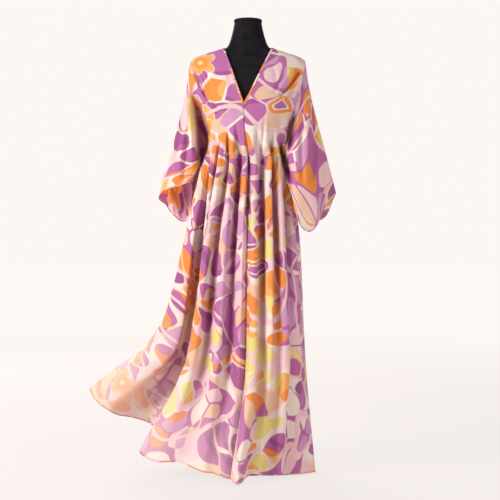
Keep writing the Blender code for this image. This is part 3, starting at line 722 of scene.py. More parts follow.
# Creases of the bodice and sleeves as the front shows them: x and z of three places, depth, half width
# and lip, all in millimetres, then the shares of the length over which it fades in and out
FRONT_CREASES = (
    (-179, 1329, -150.1, 1261.1, -120, 1200, 14, 5.6, 6.5, 0.15, 0.4),
    (-132, 1255, -104, 1195, -80, 1150, 6.5, 5.5, 3.5, 0.3, 0.4),
    (-164, 1330, -140, 1280, -124, 1235, 3.5, 3.5, 2, 0.2, 0.5),
    (-187, 1295, -156, 1130, -160, 980, 42, 16.5, 0, 0.5, 0.3),
    (-148, 1160, -138, 1100, -148, 1025, 20, 11, 0, 0.4, 0.4),
    (-200, 1240, -186, 1120, -183, 1010, -13, 9.5, 0, 0.4, 0.3),
    (-140, 1335, -125, 1270, -113, 1225, 3, 6, 1.6, 0.2, 0.5),
    (-78, 1350, -60, 1290, -48, 1230, 2.2, 6, 1.2, 0.4, 0.5),
    (-128, 1170, -105, 1145, -90, 1105, 4.5, 6, -2.5, 0.3, 0.4),
    (-118, 1142, -106, 1110, -102, 1065, 5.5, 5.5, 2.5, 0.4, 0.3),
    (-64, 1130, -66, 1090, -61, 1048, 6, 5, 2.5, 0.5, 0.1),
    (-40, 1150, -38, 1095, -44, 1048, 5, 5, -2, 0.5, 0.1),
    (-22, 1140, -20, 1090, -24, 1048, 4.5, 4, 2, 0.5, 0.1),
    (-12.8, 1200, -8.5, 1120, 1, 1035, 4.5, 3.2, 0, 0.1, 0.05),
    (1.6, 1050, 0, 900, -3.5, 720, 17, 3.6, 0, 0.05, 0.5),
    (170, 1324, 135.7, 1270, 93, 1225, 15, 5.8, 9.5, 0.12, 0.35),
    (160, 1286, 136.4, 1244, 106, 1208, 8, 5, 4.5, 0.2, 0.4),
    (126, 1320, 105, 1280, 79, 1235, 6, 6, 3.5, 0.3, 0.4),
    (103, 1228, 133, 1208, 156, 1172, 6, 6, 3, 0.4, 0.3),
    (156, 1200, 140, 1130, 136, 1050, 26, 10, 0, 0.4, 0.3),
    (96, 1095, 124, 1010, 148, 900, 30, 8.5, 0, 0.25, 0.5),
    (56, 1180, 50, 1120, 44, 1048, 5.2, 5.5, 2.8, 0.5, 0.1),
    (30, 1150, 27, 1100, 21, 1048, 5, 4.5, -2, 0.5, 0.1),
    (86, 1155, 80, 1100, 72, 1048, 4.8, 5, 2.5, 0.5, 0.1),
    (118, 1130, 112, 1090, 102, 1048, 5, 5.5, 2, 0.5, 0.1),
    (70, 1350, 90, 1300, 85, 1245, 2.4, 7, 1.2, 0.4, 0.5),
    (206, 1210, 220.7, 1070, 208, 950, 9.5, 11, 3.5, 0.4, 0.1),
    (182, 1180, 174, 1070, 179, 930, 8, 8, -4, 0.4, 0.2),
    (226, 1140, 244, 1050, 252, 950, 5, 8, 3, 0.4, 0.2),
    (-204, 1270, -224, 1140, -238, 1000, 7.5, 9, 3, 0.4, 0.2),
    (-196, 1150, -205, 1050, -213, 960, 6, 7, -3, 0.4, 0.1),
    (-230, 1100, -250, 1020, -265, 950, 4.5, 8, 2, 0.4, 0.2),
)
# Their like on the back, which the front hides
BACK_CREASES = (
    (-182, 1320, -150, 1250, -110, 1190, 6, 6, -3, 0.15, 0.4),
    (-186, 1270, -164, 1180, -148, 1110, 17, 12, 0, 0.4, 0.3),
    (184, 1315, 148, 1245, 105, 1185, 6.5, 5.5, 3, 0.15, 0.4),
    (182, 1260, 158, 1170, 142, 1100, 16, 11.5, 0, 0.4, 0.3),
    (-90, 1160, -82, 1100, -78, 1048, 4.5, 5.5, 2, 0.5, 0.1),
    (-45, 1180, -40, 1110, -42, 1048, 5, 5, -2.2, 0.5, 0.1),
    (5, 1150, 2, 1100, 4, 1048, 4.5, 5, 2, 0.5, 0.1),
    (52, 1170, 48, 1110, 45, 1048, 5, 5.5, 2.4, 0.5, 0.1),
    (98, 1150, 90, 1100, 85, 1048, 4.5, 5, -2, 0.5, 0.1),
    (-208, 1240, -228, 1100, -236, 930, 8, 10, 3, 0.4, 0.2),
    (-198, 1120, -206, 1000, -208, 880, 6, 8, -3, 0.4, 0.2),
    (206, 1230, 224, 1090, 236, 930, 8, 10, 3, 0.4, 0.2),
    (190, 1130, 200, 1020, 204, 890, 6, 8, -3, 0.4, 0.2),
    (-250, 1000, -250, 930, -232, 870, 15, 8.5, 6, 0.4, 0.05),
    (-225, 990, -212, 920, -208, 850, 13, 7, -5, 0.4, 0.05),
)
# Distance from the middle plane over which the creases grow to their full depth
CREASE_TURN = 0.030
# Depth at which a crease's inside counts as fully shaded
DEEPEST_CREASE = 0.028
# The neck's binding, folded over the edge: its cross-section all round, as reach into the cloth and rise
BINDING_PROFILE = (
    (0.0055, 0.00055),
    (0.0030, 0.00085),
    (0.0008, 0.00070),
    (-0.0005, 0.00020),
    (-0.0007, -0.00030),
    (-0.0005, -0.00080),
    (0.0008, -0.00115),
    (0.0055, -0.00115),
    (0.0055, -0.00078),
    (0.0008, -0.00078),
    (0.0001, -0.00065),
    (-0.0002, -0.00030),
    (0.0001, 0.00008),
    (0.0008, 0.00015),
    (0.0030, 0.00045),
    (0.0055, 0.00015),
)


def pressed_in(plain: Array, pressed: Array) -> Array:
    """How far creases move places inwards, as a share of the deepest crease, from 0 to 1."""
    inwards = (plain[..., 1] - pressed[..., 1]) * np.sign(plain[..., 1])
    return ease(inwards / DEEPEST_CREASE)


def creased(points: Array) -> Array:
    """The cloth with the front's and the back's creases pressed in, square to the view that shows them.

    Args:
        points: the plain cloth's grid.

    Returns:
        The creased grid.
    """
    x, y, z = np.moveaxis(points, -1, 0)
    result = points.copy()
    for side, rows in ((Side.FRONT, FRONT_CREASES), (Side.BACK, BACK_CREASES)):
        weight = ease(side.value * y / CREASE_TURN)
        height = sum(Crease(*row).height(x, z) for row in rows)
        result[..., 1] += side.value * weight * height
    return result


@dataclass(frozen=True)
class SkirtFold:
    """A small fold between the main ones.

    Its share of the way across, the shares of the skirt's length where it starts and ends, its height in
    metres, its width as a share of the way across, and how far it drifts sideways by the hem.
    """

    share: float
    start: float
    end: float
    height: float
    width: float
    drift: float


RIGHT_SKIRT_FOLDS = (
    (0.955, 0.02, 0.62, -0.0050, 0.012, 0.012),
    (0.880, 0.05, 0.50, 0.0042, 0.014, -0.010),
    (0.800, 0.00, 0.78, -0.0055, 0.012, 0.016),
    (0.735, 0.10, 0.55, 0.0045, 0.015, 0.008),
    (0.655, 0.02, 0.48, -0.0048, 0.011, -0.012),
    (0.620, 0.30, 0.95, 0.0060, 0.020, 0.014),
    (0.500, 0.04, 0.60, -0.0046, 0.013, 0.010),
    (0.430, 0.20, 0.90, 0.0055, 0.018, -0.020),
    (0.330, 0.05, 0.55, -0.0045, 0.014, 0.008),
    (0.250, 0.35, 0.98, 0.0070, 0.026, 0.018),
    (0.170, 0.08, 0.70, -0.0050, 0.018, 0.010),
    (0.090, 0.30, 0.98, 0.0060, 0.026, -0.010),
)
LEFT_SKIRT_FOLDS = (
    (0.960, 0.04, 0.70, -0.0045, 0.016, -0.006),
    (0.850, 0.30, 0.90, 0.0045, 0.020, 0.012),
    (0.760, 0.02, 0.52, -0.0050, 0.016, -0.012),
    (0.640, 0.12, 0.66, 0.0046, 0.018, 0.014),
    (0.530, 0.02, 0.60, -0.0052, 0.015, 0.010),
    (0.420, 0.25, 0.96, 0.0050, 0.022, -0.014),
    (0.300, 0.04, 0.55, -0.0046, 0.018, 0.010),
    (0.180, 0.20, 0.88, 0.0050, 0.022, -0.012),
    (0.080, 0.08, 0.70, -0.0040, 0.018, 0.008),
)
BACK_SKIRT_FOLDS = (
    (0.045, 0.05, 0.70, 0.0040, 0.012, 0.008),
    (0.110, 0.02, 0.55, -0.0050, 0.012, -0.008),
    (0.180, 0.25, 0.95, 0.0055, 0.018, 0.012),
    (0.250, 0.03, 0.50, -0.0046, 0.012, 0.008),
    (0.330, 0.10, 0.80, 0.0050, 0.016, -0.012),
    (0.400, 0.02, 0.60, -0.0052, 0.012, 0.010),
    (0.470, 0.35, 0.98, 0.0060, 0.020, 0.014),
    (0.540, 0.04, 0.55, -0.0046, 0.012, -0.010),
    (0.610, 0.15, 0.85, 0.0050, 0.016, 0.012),
    (0.680, 0.02, 0.62, -0.0050, 0.012, 0.008),
    (0.755, 0.30, 0.95, 0.0062, 0.020, -0.014),
    (0.835, 0.05, 0.65, -0.0048, 0.014, 0.012),
    (0.905, 0.25, 0.98, 0.0060, 0.020, 0.010),
)


@dataclass
class ClothGrid:
    """The outer face of a piece of cloth as rows and columns of points.

    The first and the last column meet where the piece is closed all round. The offset says where the piece
    lies on the printed cloth, and the datum which share of its width lies there.
    """

    points: Array
    closed: bool = False
    offset: tuple = (0.0, 0.0)
    datum: float = 0.0

    def all_round(self) -> Array:
        """The points, with the first column once more at the end where the piece is closed."""
        return np.concatenate([self.points, self.points[:, :1]], axis=1) if self.closed else self.points

    def normals(self) -> Array:
        """Which way the outer face looks.

        Returns:
            A unit normal at each point, facing away from the middle of the piece.
        """
        grid = self.all_round()
        facets = unit(np.cross(grid[1:, 1:] - grid[:-1, :-1], grid[1:, :-1] - grid[:-1, 1:]))
        facets = np.concatenate([facets[:1], facets, facets[-1:]])
        if self.closed:
            before = np.roll(facets, 1, axis=1)
        else:
            before = np.concatenate([facets[:, :1], facets], axis=1)
            facets = np.concatenate([facets, facets[:, -1:]], axis=1)
        found = unit(facets[1:] + facets[:-1] + before[1:] + before[:-1])
        if self.closed:
            centre = self.points.mean(axis=1, keepdims=True)
        else:
            centre = self.points * np.array([0.0, 0.0, 1.0]) + np.array([PANEL_MIDDLE_X, 0.0, 0.0])
        return found if np.sum(found * (self.points - centre)) > 0 else -found

    def moved_out(self, height: Array) -> None:
        """Moves each point along its normal."""
        self.points = self.points + self.normals() * height[..., None]

    def hollows(self, reach: int) -> Array:
        """How deep each point lies in a fold, from 0 to 1.

        Args:
            reach: how many neighbours each way in its row a point is set against.

        Returns:
            The depth inside the neighbours' mean, as a share of a full fold's.
        """
        ends = {"mode": "wrap"} if self.closed else {"mode": "reflect", "reflect_type": "odd"}
        wide = np.pad(self.points, ((0, 0), (reach, reach), (0, 0)), **ends)
        weights = np.hanning(2 * reach + 3)[1:-1]
        columns = self.points.shape[1]
        mean = sum(weight * wide[:, i : i + columns] for i, weight in enumerate(weights)) / weights.sum()
        return ease(np.sum((mean - self.points) * self.normals(), axis=-1) / FULL_FOLD)

    def cloth_map(self) -> Array:
        """Where each point lies on the flat cloth, in metres: across and down.

        Returns:
            Two numbers for each point, with one column more than the grid where it is closed.
        """
        grid = self.all_round()
        across = steps_along(grid, 1)
        across = across - self.datum * across[:, -1:]
        down = np.linalg.norm(np.diff(grid, axis=0), axis=-1).mean(axis=1)
        down = np.concatenate([[0.0], np.cumsum(down)])
        low = np.broadcast_to(-down[:, None], across.shape)
        return np.stack([across + self.offset[0], low + self.offset[1]], axis=-1)

    def shell(self, name: str, look: Material, facts: dict[str, Array]) -> Object:
        """A closed thin shell of the cloth, with its map and facts for its finish.

        Args:
            name: the piece's name.
            look: its material.
            facts: values for each point, kept under their names.

        Returns:
            The new piece.
        """
        outer = self.points
        inner = outer - self.normals() * CLOTH_THICKNESS
        rows, columns = outer.shape[:2]
        count = rows * columns
        wide = columns if self.closed else columns - 1
        r, c = (value.ravel() for value in np.meshgrid(np.arange(rows - 1), np.arange(wide), indexing="ij"))
        corners = ((r, c), (r + 1, c), (r + 1, c + 1), (r, c + 1))
        outside = np.stack([row * columns + column % columns for row, column in corners], axis=1)
        places = self.cloth_map()
        map_out = np.stack([places[row, column] for row, column in corners], axis=1)
        faces = [outside, count + outside[:, ::-1]]
        maps = [map_out, map_out[:, ::-1]]
        edge = np.arange(wide)
        for row, turn in ((0, 1), (rows - 1, -1)):
            a, b = row * columns + edge, row * columns + (edge + 1) % columns
            faces.append(np.stack([a, b, count + b, count + a], axis=1)[:, ::turn])
            ends = (places[row, edge], places[row, edge + 1])
            maps.append(np.stack([ends[0], ends[1], ends[1], ends[0]], axis=1)[:, ::turn])
        if not self.closed:
            down = np.arange(rows - 1)
            for column, turn in ((0, -1), (columns - 1, 1)):
                a, b = down * columns + column, (down + 1) * columns + column
                faces.append(np.stack([a, b, count + b, count + a], axis=1)[:, ::turn])
                ends = (places[down, column], places[down + 1, column])
                maps.append(np.stack([ends[0], ends[1], ends[1], ends[0]], axis=1)[:, ::turn])
        faces, maps = np.concatenate(faces), np.concatenate(maps)
        middle = (rows // 2) * wide + wide // 3
        a, b, d = (outer.reshape(-1, 3)[outside[middle, k]] for k in (0, 1, 3))
        if np.dot(np.cross(b - a, d - a), self.normals().reshape(-1, 3)[outside[middle, 0]]) < 0:
            faces, maps = faces[:, ::-1], maps[:, ::-1]
        vertices = np.concatenate([outer.reshape(-1, 3), inner.reshape(-1, 3)])
        piece = new_mesh(name, vertices, faces.tolist(), look)
        uv = piece.data.uv_layers.new(name="Cloth")
        uv.data.foreach_set("uv", maps.reshape(-1).astype(np.float32))
        for fact, values in facts.items():
            attribute = piece.data.attributes.new(fact, "FLOAT", "POINT")
            attribute.data.foreach_set("value", np.tile(values.ravel(), 2).astype(np.float32))
        return piece


def new_mesh(name: str, vertices: Array, faces: list, look: Material) -> Object:
    """A smooth mesh object at the origin.

    Args:
        name: its name.
        vertices: its points, in metres.
        faces: the corners of each face.
        look: its material.

    Returns:
        The object.
    """
    mesh = bpy.data.meshes.new(name)
    mesh.from_pydata(vertices.tolist(), [], faces)
    mesh.shade_smooth()
    mesh.materials.append(look)
    piece = bpy.data.objects.new(name, mesh)
    bpy.context.scene.collection.objects.link(piece)
    return piece


def new_material(name: str) -> tuple[Material, NodeTree]:
    """A material with no nodes yet.

    Args:
        name: its name.

    Returns:
        The material and its empty tree.
    """
    made = bpy.data.materials.new(name)
    made.use_nodes = True
    made.node_tree.nodes.clear()
    return made, made.node_tree


def linear(hex_colour: str) -> tuple[float, float, float, float]:
    """An sRGB hex colour as the linear colour that a shader takes."""
    channels = [int(hex_colour[i : i + 2], 16) / 255 for i in (1, 3, 5)]
    return (*(v / 12.92 if v <= 0.04045 else ((v + 0.055) / 1.055) ** 2.4 for v in channels), 1.0)


def add(
    tree: NodeTree,
    kind: str,
    settings: dict[str | int, object] | None = None,
    links: dict[str | int, Socket] | None = None,
) -> Node:
    """Adds a node.

    Args:
        tree: the node tree.
        kind: the node's type name.
        settings: properties by name, and input values by input name or number.
        links: what goes into an input, by its name or number: another node's output socket.

    Returns:
        The node.
    """
    node = tree.nodes.new(kind)
    inputs = []
    for key, value in (settings or {}).items():
        if isinstance(key, str) and hasattr(node, key):
            setattr(node, key, value)
        else:
            inputs.append((key, value))
    for key, value in inputs:
        node.inputs[key].default_value = value
    for key, socket in (links or {}).items():
        tree.links.new(socket, node.inputs[key])
    return node


# The node types used most, and the setting of a noise that lies flat on the cloth's own map
NOISE = "ShaderNodeTexNoise"
MATH = "ShaderNodeMath"
VECTOR_MATH = "ShaderNodeVectorMath"
PRINCIPLED = "ShaderNodeBsdfPrincipled"
ON_CLOTH = {"noise_dimensions": "2D"}


@dataclass(frozen=True)
class PrintedVoile:
    """Light cotton voile, plain woven and screen printed, then hemmed.

    The print is a general one of rounded pebbles, ribbons and five-petalled flowers. Lengths are in metres
    on the flat cloth, and what is counted a metre comes back that often in a metre of it.
    """

    # To the eye it is matt and soft, with a weak sheen where it turns away. Light comes through it where it
    # hangs single, and the inks lie flat and even, with crisp edges.
    name: str = "printed_cotton_voile"
    mauve: str = "#cd79b3"
    plum: str = "#b566a0"
    lilac: str = "#dfa9cc"
    orange: str = "#f7a151"
    amber: str = "#fbbf73"
    yellow: str = "#f2e494"
    cream: str = "#f9ebe2"
    blush: str = "#f6d6d9"
    peach: str = "#f4d0b2"
    # Painted shade: in folds and creases, where shade falls, the print is darkened by this colour
    painted_fold_shade: str = "#b9819a"
    let_through: float = 0.40
    # Pebbles 82 mm apart, bent by swirls 200 mm apart and, closer, by wobbles 59 mm apart
    pebble: float = 0.082
    outline: float = 0.0075
    edge: float = 0.0012
    swirl: float = 0.20
    swirl_reach: float = 0.050
    wobbles_a_metre: float = 17.0
    wobble_reach: float = 0.009
    # Shares of a pebble's width: its roundness, its corners' softness, where its ring starts
    roundness: float = 0.56
    corner: float = 0.16
    ring: float = 0.17
    # Clouds 320 mm apart choose warm or cool inks, patches 190 mm apart choose pale pebbles on mauve
    clouds_a_metre: float = 3.1
    patches_a_metre: float = 5.3
    cloud_pull: float = 2.2
    core_over: float = 0.90
    patch_over: float = 0.58
    # The ground's tints lie 110 mm apart
    tints_a_metre: float = 9.0
    # Ribbons are the level lines of a soft noise 370 mm apart
    hills_a_metre: float = 2.7
    levels: float = 4.4
    ribbon_over: float = 0.445
    ribbon_soft: float = 0.008
    flower_spacing: float = 0.270
    flower_over: float = 0.55
    petal: float = 0.050
    petal_rim: float = 0.004
    # A chance or a patch turns over this quickly
    sharp: float = 0.001
    patch_sharp: float = 0.004

    def build(self) -> Material:
        """The cloth's material.

        Returns:
            The material, which reads the cloth's own map, its attribute of painted light coming through and
            its deep attribute of painted shade.
        """
        made, tree = new_material(self.name)
        cloth = add(tree, "ShaderNodeUVMap", {"uv_map": "Cloth"}).outputs["UV"]
        bent = self.bent(tree, cloth, 1 / self.swirl, self.swirl_reach)
        wavy = self.bent(tree, bent, self.wobbles_a_metre, self.wobble_reach)
        clouds = add(
            tree, NOISE, {**ON_CLOTH, "Scale": self.clouds_a_metre, "Detail": 1.0}, {"Vector": cloth}
        )
        patches = add(
            tree, NOISE, {**ON_CLOTH, "Scale": self.patches_a_metre, "Detail": 0.0}, {"Vector": bent}
        )
        regions = (clouds.outputs["Fac"], patches.outputs["Fac"])
        ground = self.ground(tree, cloth)
        colour = self.pebbles(tree, wavy, regions, ground)
        colour = self.ribbons(tree, bent, colour)
        colour = self.flowers(tree, cloth, colour)
        colour = self.slubs_and_painted_light(tree, cloth, colour)
        height = self.weave(tree, cloth)
        bump = add(tree, "ShaderNodeBump", {"Strength": 0.35, "Distance": 0.0006}, {"Height": height})
        faces = {"Normal": bump.outputs["Normal"]}
        body = add(
            tree,
            PRINCIPLED,
            {"Roughness": 0.82, "Specular IOR Level": 0.25, "Sheen Weight": 0.18, "Sheen Roughness": 0.45},
            {"Base Color": colour, **faces},
        )
        through = add(tree, "ShaderNodeBsdfTranslucent", {}, {"Color": colour, **faces})
        both = add(
            tree,
            "ShaderNodeMixShader",
            {"Fac": self.let_through},
            {1: body.outputs[0], 2: through.outputs[0]},
        )
        add(tree, "ShaderNodeOutputMaterial", {}, {"Surface": both.outputs[0]})
        return made

    def bent(self, tree: NodeTree, place: Socket, scale: float, reach: float) -> Socket:
        """A place moved about by a soft noise, so that straight shapes flow.

        Args:
            tree: the material's tree.
            place: the place on the cloth.
            scale: how often the noise turns in a metre.
            reach: how far a place moves at most, in metres.

        Returns:
            The moved place.
        """
        noise = add(tree, NOISE, {**ON_CLOTH, "Scale": scale, "Detail": 0.0}, {"Vector": place})
        centred = add(
            tree,
            VECTOR_MATH,
            {"operation": "SUBTRACT", 1: (0.5, 0.5, 0.5)},
            {0: noise.outputs["Color"]},
        )
        moved = add(
            tree,
            VECTOR_MATH,
            {"operation": "MULTIPLY_ADD", 1: (2 * reach, 2 * reach, 0.0)},
            {0: centred.outputs[0], 2: place},
        )
        return moved.outputs[0]

    def step(self, tree: NodeTree, value: Socket, edge: float, soft: float) -> Socket:
        """1 where a value is over an edge, 0 below it, with a soft change between."""
        return add(
            tree,
            "ShaderNodeMapRange",
            {"interpolation_type": "SMOOTHSTEP", "From Min": edge - soft, "From Max": edge + soft},
            {"Value": value},
        ).outputs["Result"]

    def mixed(self, tree: NodeTree, share: Socket, low: str | Socket, high: str | Socket) -> Socket:
        """Two colours mixed by a share.

        Args:
            tree: the material's tree.
            share: how much of the second colour.
            low: the first colour, in hex or as a socket.
            high: the second one.

        Returns:
            The mixed colour.
        """
        node = add(tree, "ShaderNodeMix", {"data_type": "RGBA"}, {"Factor": share})
        for number, colour in ((6, low), (7, high)):
            if isinstance(colour, str):
                node.inputs[number].default_value = linear(colour)
            else:
                tree.links.new(colour, node.inputs[number])
        return node.outputs[2]

    def ramp(self, tree: NodeTree, value: Socket, stops: tuple) -> Socket:
        """A colour picked by a value, with hard changes at the stops.

        Args:
            tree: the material's tree.
            value: what picks.
            stops: the lowest value of each colour, and the colour in hex.

        Returns:
            The colour.
        """
        node = add(tree, "ShaderNodeValToRGB", {}, {"Fac": value})
        ramp = node.color_ramp
        ramp.interpolation = "CONSTANT"
        while len(ramp.elements) < len(stops):
            ramp.elements.new(0.5)
        for element, (place, colour) in zip(ramp.elements, stops):
            element.position = place
            element.color = linear(colour)
        return node.outputs["Color"]

    def ground(self, tree: NodeTree, place: Socket) -> Socket:
        """The unprinted ground, tinted cream, blush and pale yellow in soft clouds.

        Args:
            tree: the material's tree.
            place: the place on the cloth.

        Returns:
            The ground's colour.
        """
        clouds = add(
            tree, NOISE, {**ON_CLOTH, "Scale": self.tints_a_metre, "Detail": 0.0}, {"Vector": place}
        )
        tint = add(tree, "ShaderNodeSeparateColor", {}, {"Color": clouds.outputs["Color"]})
        pink = self.mixed(tree, self.step(tree, tint.outputs["Red"], 0.56, 0.07), self.cream, self.blush)
        warm = self.mixed(tree, self.step(tree, tint.outputs["Blue"], 0.60, 0.05), pink, self.peach)
        return self.mixed(tree, self.step(tree, tint.outputs["Green"], 0.78, 0.05), warm, self.yellow)

    def pebbles(
        self, tree: NodeTree, place: Socket, regions: tuple[Socket, Socket], under: Socket
    ) -> Socket:
        """Rounded shapes of colour, a few with a ring and a core; in places pale ones on a mauve ground.

        Args:
            tree: the material's tree.
            place: the place on the cloth.
            regions: the noise that chooses warm or cool inks, and the one that chooses the pale pebbles.
            under: the ground's colour.

        Returns:
            The printed colour.
        """
        clouds, patches = regions
        scale = 1 / self.pebble
        cells = {"voronoi_dimensions": "2D", "Scale": scale, "Randomness": 0.92}
        edges = add(
            tree, "ShaderNodeTexVoronoi", {**cells, "feature": "DISTANCE_TO_EDGE"}, {"Vector": place}
        )
        spots = add(tree, "ShaderNodeTexVoronoi", {**cells, "feature": "F1"}, {"Vector": place})
        chance = add(tree, "ShaderNodeSeparateColor", {}, {"Color": spots.outputs["Color"]})
        rounding = add(
            tree, MATH, {"operation": "SUBTRACT", 0: self.roundness}, {1: spots.outputs["Distance"]}
        )
        inside = add(
            tree,
            MATH,
            {"operation": "SMOOTH_MIN", 2: self.corner},
            {0: edges.outputs["Distance"], 1: rounding.outputs[0]},
        ).outputs[0]
        pull = {"operation": "MULTIPLY_ADD", 1: self.cloud_pull, 2: -self.cloud_pull / 2}
        leaning = add(tree, MATH, pull, {0: clouds})
        pick = add(
            tree, MATH, {"operation": "ADD"}, {0: chance.outputs["Red"], 1: leaning.outputs[0]}
        ).outputs[0]
        fill = self.ramp(
            tree,
            pick,
            (
                (0.0, self.lilac),
                (0.05, self.mauve),
                (0.38, self.plum),
                (0.48, self.mauve),
                (0.57, self.orange),
                (0.90, self.amber),
                (0.992, self.yellow),
            ),
        )
        core = self.ramp(
            tree,
            chance.outputs["Blue"],
            ((0.0, self.mauve), (0.35, self.peach), (0.5, self.plum), (0.75, self.amber), (0.9, self.blush)),
        )
        pale = self.ramp(
            tree,
            chance.outputs["Blue"],
            (
                (0.0, self.blush),
                (0.3, self.peach),
                (0.45, self.lilac),
                (0.75, self.orange),
                (0.86, self.cream),
            ),
        )
        soft = self.edge * scale
        line = self.step(tree, inside, self.outline * scale * 0.5, soft)
        ring_in = self.step(tree, inside, self.ring, soft)
        ring_out = self.step(tree, inside, self.ring + self.outline * scale * 0.7, soft)
        has_core = self.step(tree, chance.outputs["Green"], self.core_over, self.sharp)
        inner = self.mixed(tree, ring_out, self.cream, core)
        share = add(tree, MATH, {"operation": "MULTIPLY"}, {0: ring_in, 1: has_core}).outputs[0]
        filled = self.mixed(tree, share, fill, inner)
        dark_ground = self.step(tree, patches, self.patch_over, self.patch_sharp)
        printed = self.mixed(tree, line, under, filled)
        reserved = self.mixed(tree, line, self.mauve, pale)
        return self.mixed(tree, dark_ground, printed, reserved)

    def ribbons(self, tree: NodeTree, place: Socket, under: Socket) -> Socket:
        """Long flowing pale bands over what lies under them.

        Args:
            tree: the material's tree.
            place: the place on the cloth.
            under: the colour so far.

        Returns:
            The colour with the ribbons on it.
        """
        hills = add(tree, NOISE, {**ON_CLOTH, "Scale": self.hills_a_metre, "Detail": 0.0}, {"Vector": place})
        many = add(tree, MATH, {"operation": "MULTIPLY", 1: self.levels}, {0: hills.outputs["Fac"]})
        wave = add(tree, MATH, {"operation": "PINGPONG", 1: 0.5}, {0: many.outputs[0]}).outputs[0]
        return self.mixed(tree, self.step(tree, wave, self.ribbon_over, self.ribbon_soft), under, self.blush)

    def flowers(self, tree: NodeTree, place: Socket, under: Socket) -> Socket:
        """Scattered five-petalled flowers with a pale rim and a yellow eye.

        Args:
            tree: the material's tree.
            place: the place on the cloth.
            under: the colour so far.

        Returns:
            The colour with the flowers on it.
        """
        spots = add(
            tree,
            "ShaderNodeTexVoronoi",
            {"voronoi_dimensions": "2D", "Scale": 1 / self.flower_spacing, "Randomness": 0.7},
            {"Vector": place},
        )
        away = add(
            tree, VECTOR_MATH, {"operation": "SUBTRACT"}, {0: place, 1: spots.outputs["Position"]}
        ).outputs[0]
        chance = add(tree, "ShaderNodeSeparateColor", {}, {"Color": spots.outputs["Color"]})
        apart = add(tree, "ShaderNodeSeparateXYZ", {}, {0: away})
        radius = add(tree, VECTOR_MATH, {"operation": "LENGTH"}, {0: away}).outputs["Value"]
        angle = add(
            tree, MATH, {"operation": "ARCTAN2"}, {0: apart.outputs["Y"], 1: apart.outputs["X"]}
        ).outputs[0]
        # Half of five turns: a sine without its sign then has five lobes
        turned = add(
            tree, MATH, {"operation": "MULTIPLY_ADD", 1: 2.5}, {0: angle, 2: chance.outputs["Blue"]}
        ).outputs[0]
        lobe = add(tree, MATH, {"operation": "SINE"}, {0: turned}).outputs[0]
        lobe = add(tree, MATH, {"operation": "ABSOLUTE"}, {0: lobe}).outputs[0]
        lobed = {"operation": "MULTIPLY_ADD", 1: self.petal * 0.5, 2: self.petal * 0.55}
        size = add(tree, MATH, lobed, {0: lobe}).outputs[0]
        shape = add(tree, MATH, {"operation": "SUBTRACT"}, {0: size, 1: radius}).outputs[0]
        present = self.step(tree, chance.outputs["Red"], self.flower_over, self.sharp)
        rim = self.step(tree, shape, -self.petal_rim, self.edge)
        petals = self.step(tree, shape, 0.0, self.edge)
        eye_edge = add(tree, MATH, {"operation": "SUBTRACT", 0: self.petal * 0.18}, {1: radius}).outputs[0]
        eye = self.step(tree, eye_edge, 0.0, self.edge)
        outwards = self.step(tree, radius, self.petal * 0.55, self.petal * 0.35)
        flesh = self.mixed(tree, outwards, self.orange, self.amber)
        flower = self.mixed(tree, petals, self.blush, flesh)
        flower = self.mixed(tree, eye, flower, self.yellow)
        shown = add(tree, MATH, {"operation": "MULTIPLY"}, {0: rim, 1: present}).outputs[0]
        return self.mixed(tree, shown, under, flower)

    def slubs_and_painted_light(self, tree: NodeTree, place: Socket, colour: Socket) -> Socket:
        """The print as it takes on the cloth, uneven along the threads, with painted light and shade: paler
        where light comes through, darker in folds and creases.

        Threads 2.4 mm apart and 70 mm long take the dye unevenly; real ones are too fine to show.

        Args:
            tree: the material's tree.
            place: the place on the cloth.
            colour: the print's colour.

        Returns:
            The colour, paled by painted light where light comes through and darkened by painted shade in
            folds and creases.
        """
        along = add(tree, "ShaderNodeMapping", {"Scale": (420.0, 14.0, 1.0)}, {"Vector": place}).outputs[0]
        slub = add(tree, NOISE, {**ON_CLOTH, "Scale": 1.0, "Detail": 2.0}, {"Vector": along}).outputs["Fac"]
        shade = add(
            tree,
            "ShaderNodeMapRange",
            {"From Min": 0.3, "From Max": 0.7, "To Min": 0.955, "To Max": 1.03},
            {"Value": slub},
        ).outputs["Result"]
        toned = add(tree, VECTOR_MATH, {"operation": "SCALE"}, {0: colour, "Scale": shade}).outputs[0]
        # Painted light: the colour pales towards cream where light would come through the cloth
        painted_light_through = add(tree, "ShaderNodeAttribute", {"attribute_name": "painted_light_through"}).outputs["Fac"]
        paled = self.mixed(tree, painted_light_through, toned, self.cream)
        # Painted shade: the colour darkens where the cloth lies deep in folds and creases
        deep = add(tree, "ShaderNodeAttribute", {"attribute_name": "deep"}).outputs["Fac"]
        painted_shade_tint = {"operation": "MULTIPLY", 1: linear(self.painted_fold_shade)[:3]}
        painted_fold_shade = add(tree, VECTOR_MATH, painted_shade_tint, {0: paled}).outputs[0]
        return self.mixed(tree, deep, paled, painted_fold_shade)

    def weave(self, tree: NodeTree, place: Socket) -> Socket:
        """Height of the cloth's surface: slubby threads both ways, and a fine crinkle.

        Real threads lie 0.35 mm apart, too fine to show, so the slubs are drawn 2 to 3 mm apart and 33 mm
        long. The crinkle is 18 to 26 mm across.

        Args:
            tree: the material's tree.
            place: the place on the cloth.

        Returns:
            The height, for the bump.
        """
        total = None
        for scale in ((430.0, 30.0, 1.0), (30.0, 430.0, 1.0), (55.0, 38.0, 1.0)):
            spread = add(tree, "ShaderNodeMapping", {"Scale": scale}, {"Vector": place}).outputs[0]
            noise = add(tree, NOISE, {**ON_CLOTH, "Scale": 1.0, "Detail": 1.0}, {"Vector": spread})
            height = noise.outputs["Fac"]
            if total is None:
                total = height
            else:
                total = add(tree, MATH, {"operation": "ADD"}, {0: total, 1: height}).outputs[0]
        return total


